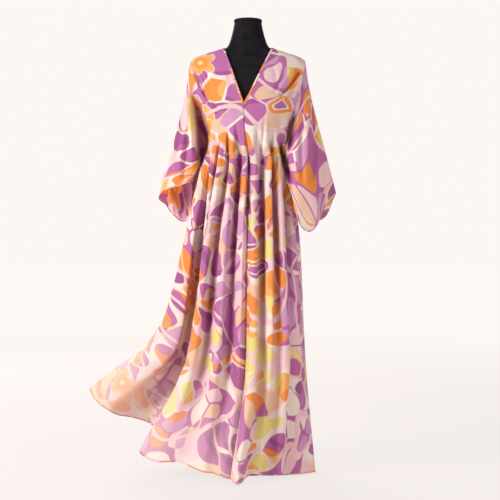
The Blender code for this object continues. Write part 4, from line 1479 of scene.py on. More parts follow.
@dataclass(frozen=True)
class BlackJersey:
    """Black velvety jersey, knitted and brushed, stretched over the form's padding."""

    # To the eye it drinks the light, with a barely mottled black, a little paler where it turns away
    name: str = "black_jersey"
    pressed: str = "#0a080b"
    raised: str = "#1b191d"
    # A pile drawn 1.1 mm coarse, where the real one is 0.3 mm, to show; rubbed in patches 36 mm across
    pile: float = 0.0011
    rubs_a_metre: float = 28.0

    def build(self) -> Material:
        """The jersey's material.

        Returns:
            The material, on object coordinates.
        """
        made, tree = new_material(self.name)
        place = {"Vector": add(tree, "ShaderNodeTexCoord").outputs["Object"]}
        fibres = add(tree, NOISE, {"Scale": 1 / self.pile, "Detail": 3.0}, place).outputs["Fac"]
        patches = add(tree, NOISE, {"Scale": self.rubs_a_metre, "Detail": 2.0}, place).outputs["Fac"]
        both = add(tree, MATH, {"operation": "MULTIPLY_ADD", 1: 0.6}, {0: fibres, 2: patches})
        tone = add(tree, "ShaderNodeValToRGB", {}, {"Fac": both.outputs[0]})
        for element, spot, colour in zip(tone.color_ramp.elements, (0.5, 1.1), (self.pressed, self.raised)):
            element.position = spot
            element.color = linear(colour)
        bump = add(tree, "ShaderNodeBump", {"Strength": 0.5, "Distance": 0.0004}, {"Height": fibres})
        body = add(
            tree,
            PRINCIPLED,
            {"Roughness": 0.95, "Specular IOR Level": 0.12, "Sheen Weight": 0.06, "Sheen Roughness": 0.35},
            {"Base Color": tone.outputs["Color"], "Normal": bump.outputs["Normal"]},
        )
        add(tree, "ShaderNodeOutputMaterial", {}, {"Surface": body.outputs[0]})
        return made


@dataclass(frozen=True)
class PaintedSteel:
    """Steel, powder coated black."""

    # To the eye it is satin: a soft highlight, broken by a faint orange peel and by handling
    name: str = "black_painted_steel"
    colour: str = "#1c1c1d"
    # Orange peel 1.1 mm across, handled patches 29 mm across
    peels_a_metre: float = 900.0
    rubs_a_metre: float = 35.0

    def build(self) -> Material:
        """The stand's material.

        Returns:
            The material, on object coordinates.
        """
        made, tree = new_material(self.name)
        place = {"Vector": add(tree, "ShaderNodeTexCoord").outputs["Object"]}
        peel = add(tree, NOISE, {"Scale": self.peels_a_metre, "Detail": 1.0}, place).outputs["Fac"]
        wear = add(tree, NOISE, {"Scale": self.rubs_a_metre, "Detail": 4.0}, place).outputs["Fac"]
        rough = add(tree, "ShaderNodeMapRange", {"To Min": 0.36, "To Max": 0.52}, {"Value": wear})
        bump = add(tree, "ShaderNodeBump", {"Strength": 0.15, "Distance": 0.0002}, {"Height": peel})
        body = add(
            tree,
            PRINCIPLED,
            {"Base Color": linear(self.colour)},
            {"Roughness": rough.outputs["Result"], "Normal": bump.outputs["Normal"]},
        )
        add(tree, "ShaderNodeOutputMaterial", {}, {"Surface": body.outputs[0]})
        return made


@dataclass(frozen=True)
class SewingThread:
    """Spun polyester thread, dyed to the print's ground."""

    # To the eye it is a pale, softly glossy twist, a little raised from the cloth
    name: str = "sewing_thread"
    colour: str = "#e9cfd0"
    # A twist comes back each 0.7 mm
    twists_a_metre: float = 1400.0

    def build(self) -> Material:
        """The thread's material.

        Returns:
            The material, on object coordinates.
        """
        made, tree = new_material(self.name)
        place = {"Vector": add(tree, "ShaderNodeTexCoord").outputs["Object"]}
        twist = add(tree, NOISE, {"Scale": self.twists_a_metre, "Detail": 1.0}, place).outputs["Fac"]
        bump = add(tree, "ShaderNodeBump", {"Strength": 0.4, "Distance": 0.0001}, {"Height": twist})
        body = add(
            tree,
            PRINCIPLED,
            {"Base Color": linear(self.colour), "Roughness": 0.6, "Sheen Weight": 0.2},
            {"Normal": bump.outputs["Normal"]},
        )
        add(tree, "ShaderNodeOutputMaterial", {}, {"Surface": body.outputs[0]})
        return made


@dataclass
class Finishes:
    """The finishes, made once and shared by the pieces."""

    voile: Material = field(default_factory=lambda: PrintedVoile().build())
    jersey: Material = field(default_factory=lambda: BlackJersey().build())
    steel: Material = field(default_factory=lambda: PaintedSteel().build())
    thread: Material = field(default_factory=lambda: SewingThread().build())


@dataclass
class SkirtPanel:
    """A front or the back, from the shoulder to the hem, gathered at the waist.

    Its columns are the new ones drawn for each fold. Sizes are in metres. A pair of sizes for the gathers is
    the least, and what chance adds to it.
    """

    name: str
    node: str
    control: Array
    relief: Array
    small_folds: tuple
    columns: int
    offset: tuple
    datum: float
    ripple_seed: float
    seam_reach: float = 0.022
    # The waist's tubes: heights of a ridge, a slot and what is plain, and the heights between which they
    # are full, with how far they fade above and below
    ridge: float = 0.0030
    slot: float = -0.0165
    plain: float = -0.0015
    slot_sharpness: float = 2.6
    tubes_top: float = -0.030
    tubes_fade_up: float = 0.085
    tubes_low: float = -0.090
    tubes_fade_down: float = 0.300
    gather_width: float = 0.0034
    gather_spacing: tuple = (0.0065, 0.0060)
    gather_height: tuple = (0.0014, 0.0026)
    gather_up: tuple = (0.022, 0.060)
    gather_down: tuple = (0.018, 0.045)
    gather_turns: tuple = (2.399, 4.117, 1.733, 5.291)
    groove_depth: float = 0.0005
    groove_width: float = 0.0026
    blousing: float = 0.0006
    fold_fades: tuple = (0.3, 0.4)
    grid: ClothGrid | None = None
    pressed: Array | None = None
    above_waist: Array | None = None

    def rows(self) -> Array:
        """Where the fine rows lie, in rows of the cut: closest together at the waist."""
        last = len(self.control) - 1
        parts = (
            np.arange(0, YOKE_ROWS, 1 / YOKE_FINE),
            np.arange(YOKE_ROWS, WAIST_ROWS_END, 1 / WAIST_FINE),
            np.arange(WAIST_ROWS_END, last, 1 / SKIRT_FINE),
            [last],
        )
        return np.concatenate(parts)

    def edges(self) -> tuple[Array, Array]:
        """The panel's first and last column as drafted, drawn finely."""
        return curve_through(self.control[:, 0], self.rows()), curve_through(self.control[:, -1], self.rows())

    def shape(self) -> None:
        """Draws the panel finely and lays its folds, gathers and creases."""
        rows = self.rows()
        wide = np.swapaxes(self.control, 0, 1)
        across = np.arange(0, len(wide) - 1 + 1e-9, 1 / self.columns)
        fine = np.swapaxes(curve_through(wide, across), 0, 1)
        fine = curve_through(fine, rows)
        self.grid = ClothGrid(creased(fine), False, self.offset, self.datum)
        self.pressed = pressed_in(fine, self.grid.points)
        down = steps_along(self.grid.points, 0)
        waist = int(np.argmin(np.abs(rows - WAIST_ROW)))
        self.above_waist = down[waist] - down
        skirt = np.clip(-self.above_waist / (down[-1] - down[waist]), 0.0, 1.0)
        share = across / across[-1]
        girth = steps_along(self.grid.points, 1)
        inside = ease(np.minimum(girth, girth[:, -1:] - girth) / self.seam_reach)
        height = self.pleats(across) + self.gathers(girth[waist]) + self.folds(share, skirt)
        height = height * inside + self.casing()
        self.grid.moved_out(height + inside * self.flutter(girth, down))

    def pleats(self, across: Array) -> Array:
        """The main folds drawn into tubes at the waist: round ridges with narrow slots between them.

        Args:
            across: the fine columns, in folds of the cut.

        Returns:
            The height at each point, in metres.
        """
        sunk = np.where(self.relief < 0, self.slot, self.plain)
        wanted = np.where(self.relief > 0, self.ridge, sunk)
        i = np.clip(across.astype(int), 0, len(wanted) - 2)
        share = across - i
        rising = wanted[i] < wanted[i + 1]
        fall = np.where(rising, (1 - share) ** self.slot_sharpness, share**self.slot_sharpness)
        low, high = np.minimum(wanted[i], wanted[i + 1]), np.maximum(wanted[i], wanted[i + 1])
        between = high + (low - high) * fall
        chance = 0.75 + 0.25 * np.sin(np.round(across) * 2.4 + self.ripple_seed)
        up = np.maximum(self.above_waist - self.tubes_top, 0.0) / self.tubes_fade_up
        low_down = np.maximum(self.tubes_low - self.above_waist, 0.0) / self.tubes_fade_down
        return (between * chance)[None, :] * gauss(up) * gauss(low_down)

    def gathers(self, round_waist: Array) -> Array:
        """Fine uneven ripples that the gathering threads draw up, above and below the waist.

        Args:
            round_waist: each column's distance along the waist.

        Returns:
            The height at each point, in metres.
        """
        height = np.zeros_like(self.above_waist)
        place, number = 0.006, 0
        while place < round_waist[-1]:
            turns = (self.ripple_seed + number * step for step in self.gather_turns)
            chance = [(math.sin(turn) + 1) / 2 for turn in turns]
            up = self.gather_up[0] + self.gather_up[1] * chance[0]
            low = self.gather_down[0] + self.gather_down[1] * chance[1]
            tall = self.gather_height[0] + self.gather_height[1] * chance[2]
            tall = -tall if number % 2 else tall
            reach = np.where(self.above_waist > 0, self.above_waist / up, -self.above_waist / low)
            ripple = gauss((round_waist - place) / self.gather_width)[None, :]
            height += tall * ripple * np.exp(-(reach**1.5))
            place += self.gather_spacing[0] + self.gather_spacing[1] * chance[3]
            number += 1
        return height

    def casing(self) -> Array:
        """The two gathering threads' grooves, and the bodice blousing 42 mm above the waist."""
        grooves = sum(gauss((self.above_waist - level) / self.groove_width) for level in GATHERING_THREADS)
        return -self.groove_depth * grooves + self.blousing * gauss((self.above_waist - 0.042) / 0.022)

    def folds(self, share: Array, skirt: Array) -> Array:
        """The small folds between the main ones.

        Args:
            share: the columns' shares of the way across.
            skirt: each point's share of the way down the skirt.

        Returns:
            The height at each point, in metres.
        """
        height = np.zeros_like(skirt)
        for fold in (SkirtFold(*row) for row in self.small_folds):
            run = (skirt - fold.start) / (fold.end - fold.start)
            fade = ease(run / self.fold_fades[0]) * ease((1 - run) / self.fold_fades[1])
            middle = fold.share + fold.drift * (skirt - fold.start)
            height += fold.height * fade * gauss((share[None, :] - middle) / fold.width)
        return height

    def flutter(self, girth: Array, down: Array) -> Array:
        """The cloth's slight unevenness: waves about 100 mm long that grow to the hem, and finer ones.

        Args:
            girth: each point's distance along its row.
            down: each point's distance down its column.

        Returns:
            The height at each point, in metres.
        """
        soft = np.sin(girth * 61.0 + down * 17.0 + self.ripple_seed) * np.sin(down * 29.0 - girth * 11.0)
        fine = np.sin(girth * 133.0 - down * 41.0) * np.sin(down * 67.0 + girth * 23.0 + self.ripple_seed)
        return (0.0007 + 0.0011 * ease((down - 0.35) / 0.9)) * soft + 0.0004 * fine

    def painted_light_through(self) -> Array:
        """How much painted light pales the cloth where it flies out from the body, standing in for light
        coming through it.

        Returns:
            A share for each point, growing outwards and down in the flare, and down to the hem.
        """
        x, _, z = np.moveaxis(self.grid.points, -1, 0)
        flare = FLARE_PALING * ease((-0.12 - x) / 0.22) * ease((0.60 - z) / 0.28)
        return np.maximum(flare, HEM_PALING * ease((0.42 - z) / 0.34) * ease((0.08 - x) / 0.22))

    def shade(self) -> Array:
        """How much painted shade each point gets: how far it lies in a fold or is pressed in by a crease,
        weaker towards the hem.
        """
        high = ease((self.grid.points[..., 2] - 0.10) / 0.65)
        return np.maximum(self.grid.hollows(self.columns), self.pressed) * (0.25 + 0.75 * high)

    def build(self, finishes: Finishes, trims: Trims) -> Object:
        """Makes the panel's piece and its hem, attaches the piece and hides the solid that it stands for.

        Args:
            finishes: the finishes.
            trims: rolls the hem.

        Returns:
            The panel's piece.
        """
        # Painted light in the flare and at the hem, and painted shade in folds and creases, kept on the cloth
        # for its colour
        facts = {"painted_light_through": self.painted_light_through(), "deep": self.shade()}
        piece = self.grid.shell(self.name, finishes.voile, facts)
        hem = trims.roll(self.grid, f"hem_of_{self.node}", finishes.voile)
        return declare_cloth(piece, self.node)


def declare_cloth(piece: Object, node: str) -> Object:
    """Attaches a piece of cloth to the frame and hides the solid that it stands for.

    Args:
        piece: the piece.
        node: the solid that it stands for.

    Returns:
        The piece.
    """
    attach(piece, "root")
    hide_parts(node)
    return piece


@dataclass
class Sleeve:
    """A wide sleeve, set into the armhole that the front and the back leave, open at its cuff.

    It is drawn in towards the skirt round one place of its girth: the place's share of the way round, the
    width there as a share, and how far in metres.
    """

    name: str
    node: str
    hand: Hand
    cuff: tuple
    offset: tuple
    drawn_in: tuple
    flutter: float = 0.0012
    grid: ClothGrid | None = None
    pressed: Array | None = None

    def through_cuff(self, shares: Array) -> Array:
        """Places on the cuff's edge.

        Args:
            shares: shares of the way round it.

        Returns:
            The place for each share.
        """
        rows = np.array(self.cuff)
        places = np.concatenate([rows[:, 0] - 1.0, rows[:, 0], rows[:, 0] + 1.0])
        values = np.concatenate([rows[:, 1:]] * 3)
        slope = np.gradient(values, places, axis=0)
        i = np.searchsorted(places, shares, side="right") - 1
        h = (places[i + 1] - places[i])[:, None]
        t = (shares - places[i])[:, None] / h
        return smooth_path(t, values[i], h * slope[i], values[i + 1], h * slope[i + 1])

    def shape(self, front_edge: Array, back_edge: Array) -> None:
        """Draws the sleeve from the panels' plain armhole edges.

        Args:
            front_edge: the front's edge, from the shoulder down.
            back_edge: the back's edge, from the shoulder down.
        """
        armhole = np.concatenate([front_edge[::-1], back_edge[1:-1]])
        armhole = armhole + np.array([self.hand.value * SEAM_GAP, 0.0, 0.0])
        shares = np.arange(len(armhole)) / len(armhole)
        end = self.through_cuff(shares)
        up = ((1 - np.cos(2 * math.pi * shares)) / 2)[:, None]
        top, low = np.array(SLEEVE_LEAVES_TOP), np.array(SLEEVE_LEAVES_UNDERARM)
        leaves = low + (top - low) * up
        leaving = np.stack([self.hand.value * leaves[:, 0], 0 * leaves[:, 0], -leaves[:, 1]], axis=-1)
        t = (np.arange(SLEEVE_FINE_ROWS + 1) / SLEEVE_FINE_ROWS)[:, None, None]
        points = smooth_path(t, armhole, leaving, end, (end - armhole) * SLEEVE_ARRIVAL)
        where, width, reach = self.drawn_in
        way = t[:, :, 0]
        nearness = gauss((shares - where) / width)[None, :]
        x_in = reach * nearness * ease((way - 0.12) / 0.3) * ease((1.02 - way) / 0.35)
        points[..., 0] -= self.hand.value * x_in
        self.grid = ClothGrid(creased(points), True, self.offset, 0.5)
        self.pressed = pressed_in(points, self.grid.points)
        down = steps_along(self.grid.points, 0)
        turn = 2 * math.pi * shares[None, :]
        broad = np.sin(3 * turn + down * 9.0) * np.sin(down * 13.0 + self.offset[0])
        waves = broad + 0.6 * np.sin(7 * turn - down * 21.0 + self.offset[1])
        self.grid.moved_out(self.flutter * ease(down / 0.12) * waves)

    def build(self, finishes: Finishes, trims: Trims) -> Object:
        """Makes the sleeve's piece and its hem, attaches the piece and hides the solid that it stands for.

        Args:
            finishes: the finishes.
            trims: rolls the hem.

        Returns:
            The sleeve's piece.
        """
        # Painted light at the cuffs and painted shade in the folds and creases, kept on the cloth for its
        # colour
        painted_light_through = CUFF_PALING * ease((0.93 - self.grid.points[..., 2]) / 0.08)
        deep = np.maximum(self.grid.hollows(SLEEVE_NEIGHBOURS), self.pressed)
        piece = self.grid.shell(self.name, finishes.voile, {"painted_light_through": painted_light_through, "deep": deep})
        hem = trims.roll(self.grid, f"hem_of_{self.node}", finishes.voile)
        return declare_cloth(piece, self.node)


@dataclass
class Trims:
    """What is sewn on the cloth's edges: the rolled hems and the stitching. Sizes are in metres."""

    hem_width: float = 0.0045
    hem_thickness: float = 0.0014
    hem_sides: int = 8
    hem_overhang: float = 0.0004
    stitch: float = 0.0028
    stitch_gap: float = 0.0012
    thread: float = 0.0004
    # A stitch's width at its ends, its height there, and how flat the thread lies
    end_share: float = 0.55
    end_lift: float = 0.00012
    middle_lift: float = 0.8
    flatness: float = 0.7
    lines: list = field(default_factory=list)

    def roll(self, grid: ClothGrid, name: str, look: Material) -> Object:
        """A narrow rolled hem along the last row of a piece of cloth.

        Args:
            grid: the cloth.
            name: the hem's name.
            look: the material.

        Returns:
            The hem's piece.
        """
        angles = 2 * math.pi * np.arange(self.hem_sides) / self.hem_sides
        reach = (1 - np.cos(angles)) / 2 * self.hem_width - self.hem_overhang
        rise = np.sin(angles) * self.hem_thickness / 2 - CLOTH_THICKNESS / 2
        edge, out = grid.points[-1], grid.normals()[-1]
        inside = unit(grid.points[-2] - edge)
        hem = sweep(name, (edge, inside, out), np.stack([reach, rise], axis=-1), grid.closed, look)
        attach(hem, "root")
        logger.info("%s: %d faces", name, len(hem.data.polygons))
        return hem

    def sew(self, line: Array, out: Array) -> None:
        """Adds a row of stitches along a line on the cloth's face.

        Args:
            line: points of the line.
            out: for each, the way out of the face.
        """
        along = np.concatenate([[0.0], np.cumsum(np.linalg.norm(np.diff(line, axis=0), axis=-1))])
        starts = np.arange(0.001, along[-1] - self.stitch, self.stitch + self.stitch_gap)
        for start in starts:
            places = start + self.stitch * np.array([0.0, 0.5, 1.0])
            points = np.stack([np.interp(places, along, line[:, axis]) for axis in range(3)], axis=-1)
            face = unit(np.stack([np.interp(places[1], along, out[:, axis]) for axis in range(3)]))
            self.lines.append((points, face))

    def build_stitches(self, name: str, look: Material) -> Object:
        """Joins all the stitches sewn so far into one piece.

        Args:
            name: the piece's name.
            look: the thread's material.

        Returns:
            The piece.
        """
        vertices, faces = [], []
        for points, face in self.lines:
            ahead = unit(points[2] - points[0])
            across = unit(np.cross(face, ahead))
            base = len(vertices)
            for number, point in enumerate(points):
                wide = self.thread * (1.0 if number == 1 else self.end_share)
                lift = self.end_lift + (self.thread * self.middle_lift if number == 1 else 0.0)
                centre = point + face * lift
                for a, b in ((1, 0), (0, 1), (-1, 0), (0, -1)):
                    vertices.append(centre + across * a * wide + face * b * wide * self.flatness)
            for ring in (0, 1):
                for k in range(4):
                    a, b = base + ring * 4 + k, base + ring * 4 + (k + 1) % 4
                    faces.append([a, b, b + 4, a + 4])
            faces.append([base + 3, base + 2, base + 1, base])
            faces.append([base + 8, base + 9, base + 10, base + 11])
        piece = new_mesh(name, np.array(vertices), faces, look)
        make_faces_point_out(piece)
        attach(piece, "root")
        logger.info("%s: %d stitches", name, len(self.lines))
        return piece


def sweep(
    name: str,
    along: tuple[Array, Array, Array],
    profile: Array,
    closed: bool,
    look: Material,
) -> Object:
    """A closed strip whose cross-section runs along an edge of the cloth.

    Args:
        name: the piece's name.
        along: points of the edge, and for each the way into the cloth and the way out of its face.
        profile: the cross-section all the way round, as reach into the cloth and rise over its face.
        closed: whether the edge runs all round.
        look: the material.

    Returns:
        The piece.
    """
    edge, inside, out = along
    turns, count = len(profile), len(edge)
    reach, rise = profile[None, :, 0, None], profile[None, :, 1, None]
    rings = edge[:, None] + inside[:, None] * reach + out[:, None] * rise
    faces = []
    for i in range(count if closed else count - 1):
        j = (i + 1) % count
        for k in range(turns):
            m = (k + 1) % turns
            faces.append([i * turns + k, j * turns + k, j * turns + m, i * turns + m])
    if not closed:
        faces.append(list(range(turns)))
        faces.append([(count - 1) * turns + k for k in reversed(range(turns))])
    piece = new_mesh(name, rings.reshape(-1, 3), faces, look)
    make_faces_point_out(piece)
    distance = np.concatenate([[0.0], np.cumsum(np.linalg.norm(np.diff(edge, axis=0), axis=-1))])
    uv = piece.data.uv_layers.new(name="Cloth")
    for loop in piece.data.loops:
        i, k = divmod(loop.vertex_index, turns)
        uv.data[loop.index].uv = (float(distance[i]) + TRIM_OFFSET[0], float(profile[k, 0]) + TRIM_OFFSET[1])
    return piece


def make_faces_point_out(piece: Object) -> None:
    """Turns a closed mesh's faces outwards."""
    bpy.ops.object.select_all(action="DESELECT")
    bpy.context.view_layer.objects.active = piece
    piece.select_set(True)
    bpy.ops.object.mode_set(mode="EDIT")
    bpy.ops.mesh.select_all(action="SELECT")
    bpy.ops.mesh.normals_make_consistent(inside=False)
    bpy.ops.object.mode_set(mode="OBJECT")
    piece.select_set(False)


@dataclass
class DressForm:
    """The limbless torso with its neck and cap, padded and covered in jersey. Sizes are in metres."""

    finishes: Finishes
    sides: int = 96
    level_step: float = 0.008
    seam_depth: float = 0.0007
    seam_width: float = 0.0012
    # The neck's seam: its height, how far it dips at the back, and its width
    neck_seam: tuple = (1.408, 0.010, 0.0035)
    cap_height: float = 0.012
    cap_rim: float = 0.0015
    # The cap's rim is this wide, its top is this much lower, and a button's edge lies this far inside it
    rim_width: float = 0.006
    rim_height: float = 0.0008
    button_inset: float = 0.012
    rounding: float = 0.0035
    sharp_edge: float = math.radians(40)

    def build(self) -> None:
        """Makes the torso and its cap."""
        self.build_torso()
        self.build_cap()

    def build_torso(self) -> None:
        """The torso, drawn up from a circle level by level, then shaped to its sections."""
        size = run_through([row[0] for row in FORM_SECTIONS], [row[1:] for row in FORM_SECTIONS])
        low, high = FORM_SECTIONS[0][0], FORM_SECTIONS[-1][0]
        count = int(math.ceil((high - low) / self.level_step))
        levels = np.linspace(low, high, count + 1)
        bpy.ops.object.select_all(action="DESELECT")
        base = {"radius": 1.0, "fill_type": "NGON", "location": (0, 0, low)}
        bpy.ops.mesh.primitive_circle_add(vertices=self.sides, **base)
        torso = bpy.context.active_object
        torso.name = torso.data.name = "torso"
        bpy.ops.object.mode_set(mode="EDIT")
        bpy.ops.mesh.select_all(action="SELECT")
        for z, above in zip(levels, levels[1:]):
            bpy.ops.mesh.extrude_region_move(TRANSFORM_OT_translate={"value": (0.0, 0.0, above - z)})
        bpy.ops.mesh.select_all(action="SELECT")
        bpy.ops.mesh.normals_make_consistent(inside=False)
        bpy.ops.object.mode_set(mode="OBJECT")
        bpy.ops.object.transform_apply(location=True, rotation=True, scale=True)
        cut = Cut()
        for vertex in torso.data.vertices:
            x, y, z = vertex.co
            half, front, back = size(z)
            depth = front if y < 0 else back
            angle = math.atan2(y, x)
            place = [half * x, depth * y]
            if y < 0:
                place[1] -= float(cut.bust(np.array(place[0]), np.array(z))) * -y
            groove = self.seam_depth * self.seams(angle, z, half)
            vertex.co = (place[0] * (1 - groove / half), place[1] * (1 - groove / depth), z)
        torso.data.materials.append(self.finishes.jersey)
        bpy.ops.object.shade_smooth_by_angle(angle=self.sharp_edge)
        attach(torso, "root")
        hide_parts("dress_form")
        logger.info("torso: %d faces", len(torso.data.polygons))

    def seams(self, angle: float, z: float, half: float) -> float:
        """How deep the cover's seams are at a place: up the sides, the front and the back, round the neck.

        Args:
            angle: the place's angle round the form.
            z: its height.
            half: the form's half width there.

        Returns:
            The depth, from 0 to 1.
        """
        total = 0.0
        for seam in (0.0, math.pi, -math.pi / 2, math.pi / 2):
            turn = (angle - seam + math.pi) % (2 * math.pi) - math.pi
            total += math.exp(-((turn * half / self.seam_width) ** 2))
        height, dip, width = self.neck_seam
        level = height + dip * math.sin(angle)
        total += math.exp(-(((z - level) / width) ** 2))
        return min(total, 1.0)

    def build_cap(self) -> None:
        """The neck's cap: a disc with a rounded edge and a small button in its middle."""
        _, half, front, back = FORM_SECTIONS[-1]
        base = FORM_SECTIONS[-1][0] + SEAM_GAP
        bpy.ops.object.select_all(action="DESELECT")
        place = (0, 0, base + self.cap_height / 2)
        bpy.ops.mesh.primitive_cylinder_add(
            vertices=self.sides, radius=1.0, depth=self.cap_height, location=place
        )
        cap = bpy.context.active_object
        cap.name = cap.data.name = "neck_cap_cover"
        cap.scale = (half + self.cap_rim, (front + back) / 2 + self.cap_rim, 1.0)
        bpy.ops.object.transform_apply(location=True, rotation=True, scale=True)
        bpy.ops.object.mode_set(mode="EDIT")
        bpy.ops.mesh.select_all(action="DESELECT")
        bpy.ops.object.mode_set(mode="OBJECT")
        for face in cap.data.polygons:
            face.select = face.normal.z > 0.9
        bpy.ops.object.mode_set(mode="EDIT")
        bpy.ops.mesh.inset(thickness=self.rim_width, depth=-self.rim_height)
        bpy.ops.mesh.inset(thickness=self.button_inset, depth=0.0)
        bpy.ops.object.mode_set(mode="OBJECT")
        bevel = cap.modifiers.new("rounded", "BEVEL")
        bevel.width = self.rounding
        bevel.segments = 4
        bevel.limit_method = "ANGLE"
        bpy.ops.object.modifier_apply(modifier=bevel.name)
        cap.data.materials.append(self.finishes.jersey)
        bpy.ops.object.shade_smooth_by_angle(angle=self.sharp_edge)
        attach(cap, "root")
        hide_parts("neck_cap")
        cap.select_set(False)
        logger.info("neck cap: %d faces", len(cap.data.polygons))


@dataclass
class Dress:
    """The kaftan: two fronts, a back, two sleeves and what is sewn on their edges."""

    finishes: Finishes
    cut: Cut = field(default_factory=Cut)
    trims: Trims = field(default_factory=Trims)

    def build(self) -> None:
        """Makes all the pieces of the dress."""
        panels = self.panels()
        (right_edge, _), (left_edge, _), (back_left_edge, back_right_edge) = (
            panel.edges() for panel in panels
        )
        above_underarm = slice(0, YOKE_ROWS * YOKE_FINE + 1)
        sleeves = self.sleeves()
        sleeves[0].shape(right_edge[above_underarm], back_right_edge[above_underarm])
        sleeves[1].shape(left_edge[above_underarm], back_left_edge[above_underarm])
        for panel in panels:
            panel.shape()
        for part in (*panels, *sleeves):
            part.build(self.finishes, self.trims)
        self.finish_edges(panels, sleeves)

    def panels(self) -> tuple[SkirtPanel, SkirtPanel, SkirtPanel]:
        """The fronts and the back, not yet shaped.

        Returns:
            The right front, the left front and the back.
        """
        rows = (
            ("front_right", *self.cut.front(Hand.RIGHT), RIGHT_SKIRT_FOLDS, 9, (0.55, 0.21), 1.0, 0.3),
            ("front_left", *self.cut.front(Hand.LEFT), LEFT_SKIRT_FOLDS, 11, (1.9, 0.62), 1.0, 1.9),
            ("back", *self.cut.back(), BACK_SKIRT_FOLDS, 9, (6.2, 0.8), 0.5, 4.4),
        )
        return tuple(SkirtPanel(f"{row[0]}_cloth", *row) for row in rows)

    def sleeves(self) -> tuple[Sleeve, Sleeve]:
        """The right and the left sleeve, not yet shaped."""
        right = (Hand.RIGHT, RIGHT_CUFF, (3.6, 0.7), (0.10, 0.08, 0.006))
        left = (Hand.LEFT, LEFT_CUFF, (4.7, 1.3), (0.12, 0.09, 0.022))
        return (
            Sleeve("sleeve_right_cloth", "sleeve_right", *right),
            Sleeve("sleeve_left_cloth", "sleeve_left", *left),
        )

    def finish_edges(self, panels: tuple[SkirtPanel, ...], sleeves: tuple[Sleeve, ...]) -> None:
        """Stitches the hems and the gathers, and binds the neck.

        Args:
            panels: the right front, the left front and the back.
            sleeves: the sleeves.
        """
        for panel in panels:
            self.sew_above_edge(panel.grid)
            for level in GATHERING_THREADS:
                self.sew_level(panel, level)
        for sleeve in sleeves:
            self.sew_above_edge(sleeve.grid)
        self.bind_neck(panels)
        self.trims.build_stitches("stitching", self.finishes.thread)

    def sew_above_edge(self, grid: ClothGrid) -> None:
        """Sews just inside the upper line of a hem, along a grid's last row."""
        points, out = grid.points, grid.normals()
        inside = unit(points[-2] - points[-1]) * (self.trims.hem_width - STITCH_INSET)
        self.trims.sew(points[-1] + inside + out[-1] * STITCH_ON_HEM, out[-1])

    def sew_level(self, panel: SkirtPanel, level: float) -> None:
        """Sews across a panel.

        Args:
            panel: the panel.
            level: the row's height above its waist.
        """
        points, out, above = panel.grid.points, panel.grid.normals(), panel.above_waist
        line, faces = [], []
        for column in range(points.shape[1]):
            heights = above[::-1, column]
            line.append([np.interp(level, heights, points[::-1, column, axis]) for axis in range(3)])
            faces.append([np.interp(level, heights, out[::-1, column, axis]) for axis in range(3)])
        self.trims.sew(np.array(line), unit(np.array(faces)))

    def bind_neck(self, panels: tuple[SkirtPanel, ...]) -> None:
        """Lays the binding's strip on the neck's edge: up the right front, round the back, down the left.

        Args:
            panels: the right front, the left front and the back.
        """
        right, left, back = (panel.grid for panel in panels)
        last = int(np.argmin(np.abs(right.points[:, -1, 2] - V_POINT[1])))
        up = np.arange(last, -1, -1)
        neck_x = float(self.cut.seam_x(SHOULDER_NECK_Z, Hand.LEFT))
        behind = np.flatnonzero(np.abs(back.points[0, :, 0]) < neck_x - 1e-4)[::-1]
        edge, out = (
            np.concatenate([at_right[up, -1], at_back[0, behind], at_left[up[::-1], -1]])
            for at_right, at_back, at_left in (
                (right.points, back.points, left.points),
                (right.normals(), back.normals(), left.normals()),
            )
        )
        inside = unit(np.cross(out, unit(np.gradient(edge, axis=0))))
        middle = np.array([0.0, 0.0, V_POINT[1] + 0.08])
        if np.sum(inside * (edge - middle)) < 0:
            inside = -inside
        profile = np.array(BINDING_PROFILE)
        piece = sweep("neck_binding_cloth", (edge, inside, out), profile, False, self.finishes.voile)
        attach(piece, "root")
        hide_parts("neck_binding")
        sewn_in = BINDING_PROFILE[0][0] - STITCH_INSET
        self.trims.sew(edge + inside * sewn_in + out * STITCH_ON_BINDING, out)


@dataclass
class Stand:
    """The stand's pole and foot: their solids stay, in painted steel."""

    finishes: Finishes
    nodes: tuple = ("stand_pole", "stand_foot")

    def build(self, frame: dict) -> None:
        """Paints the stand.

        Args:
            frame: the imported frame, which holds the solids.
        """
        for name in self.nodes:
            for slot in frame["nodes"][name].material_slots:
                slot.material = self.finishes.steel
            logger.info("%s: painted steel", name)


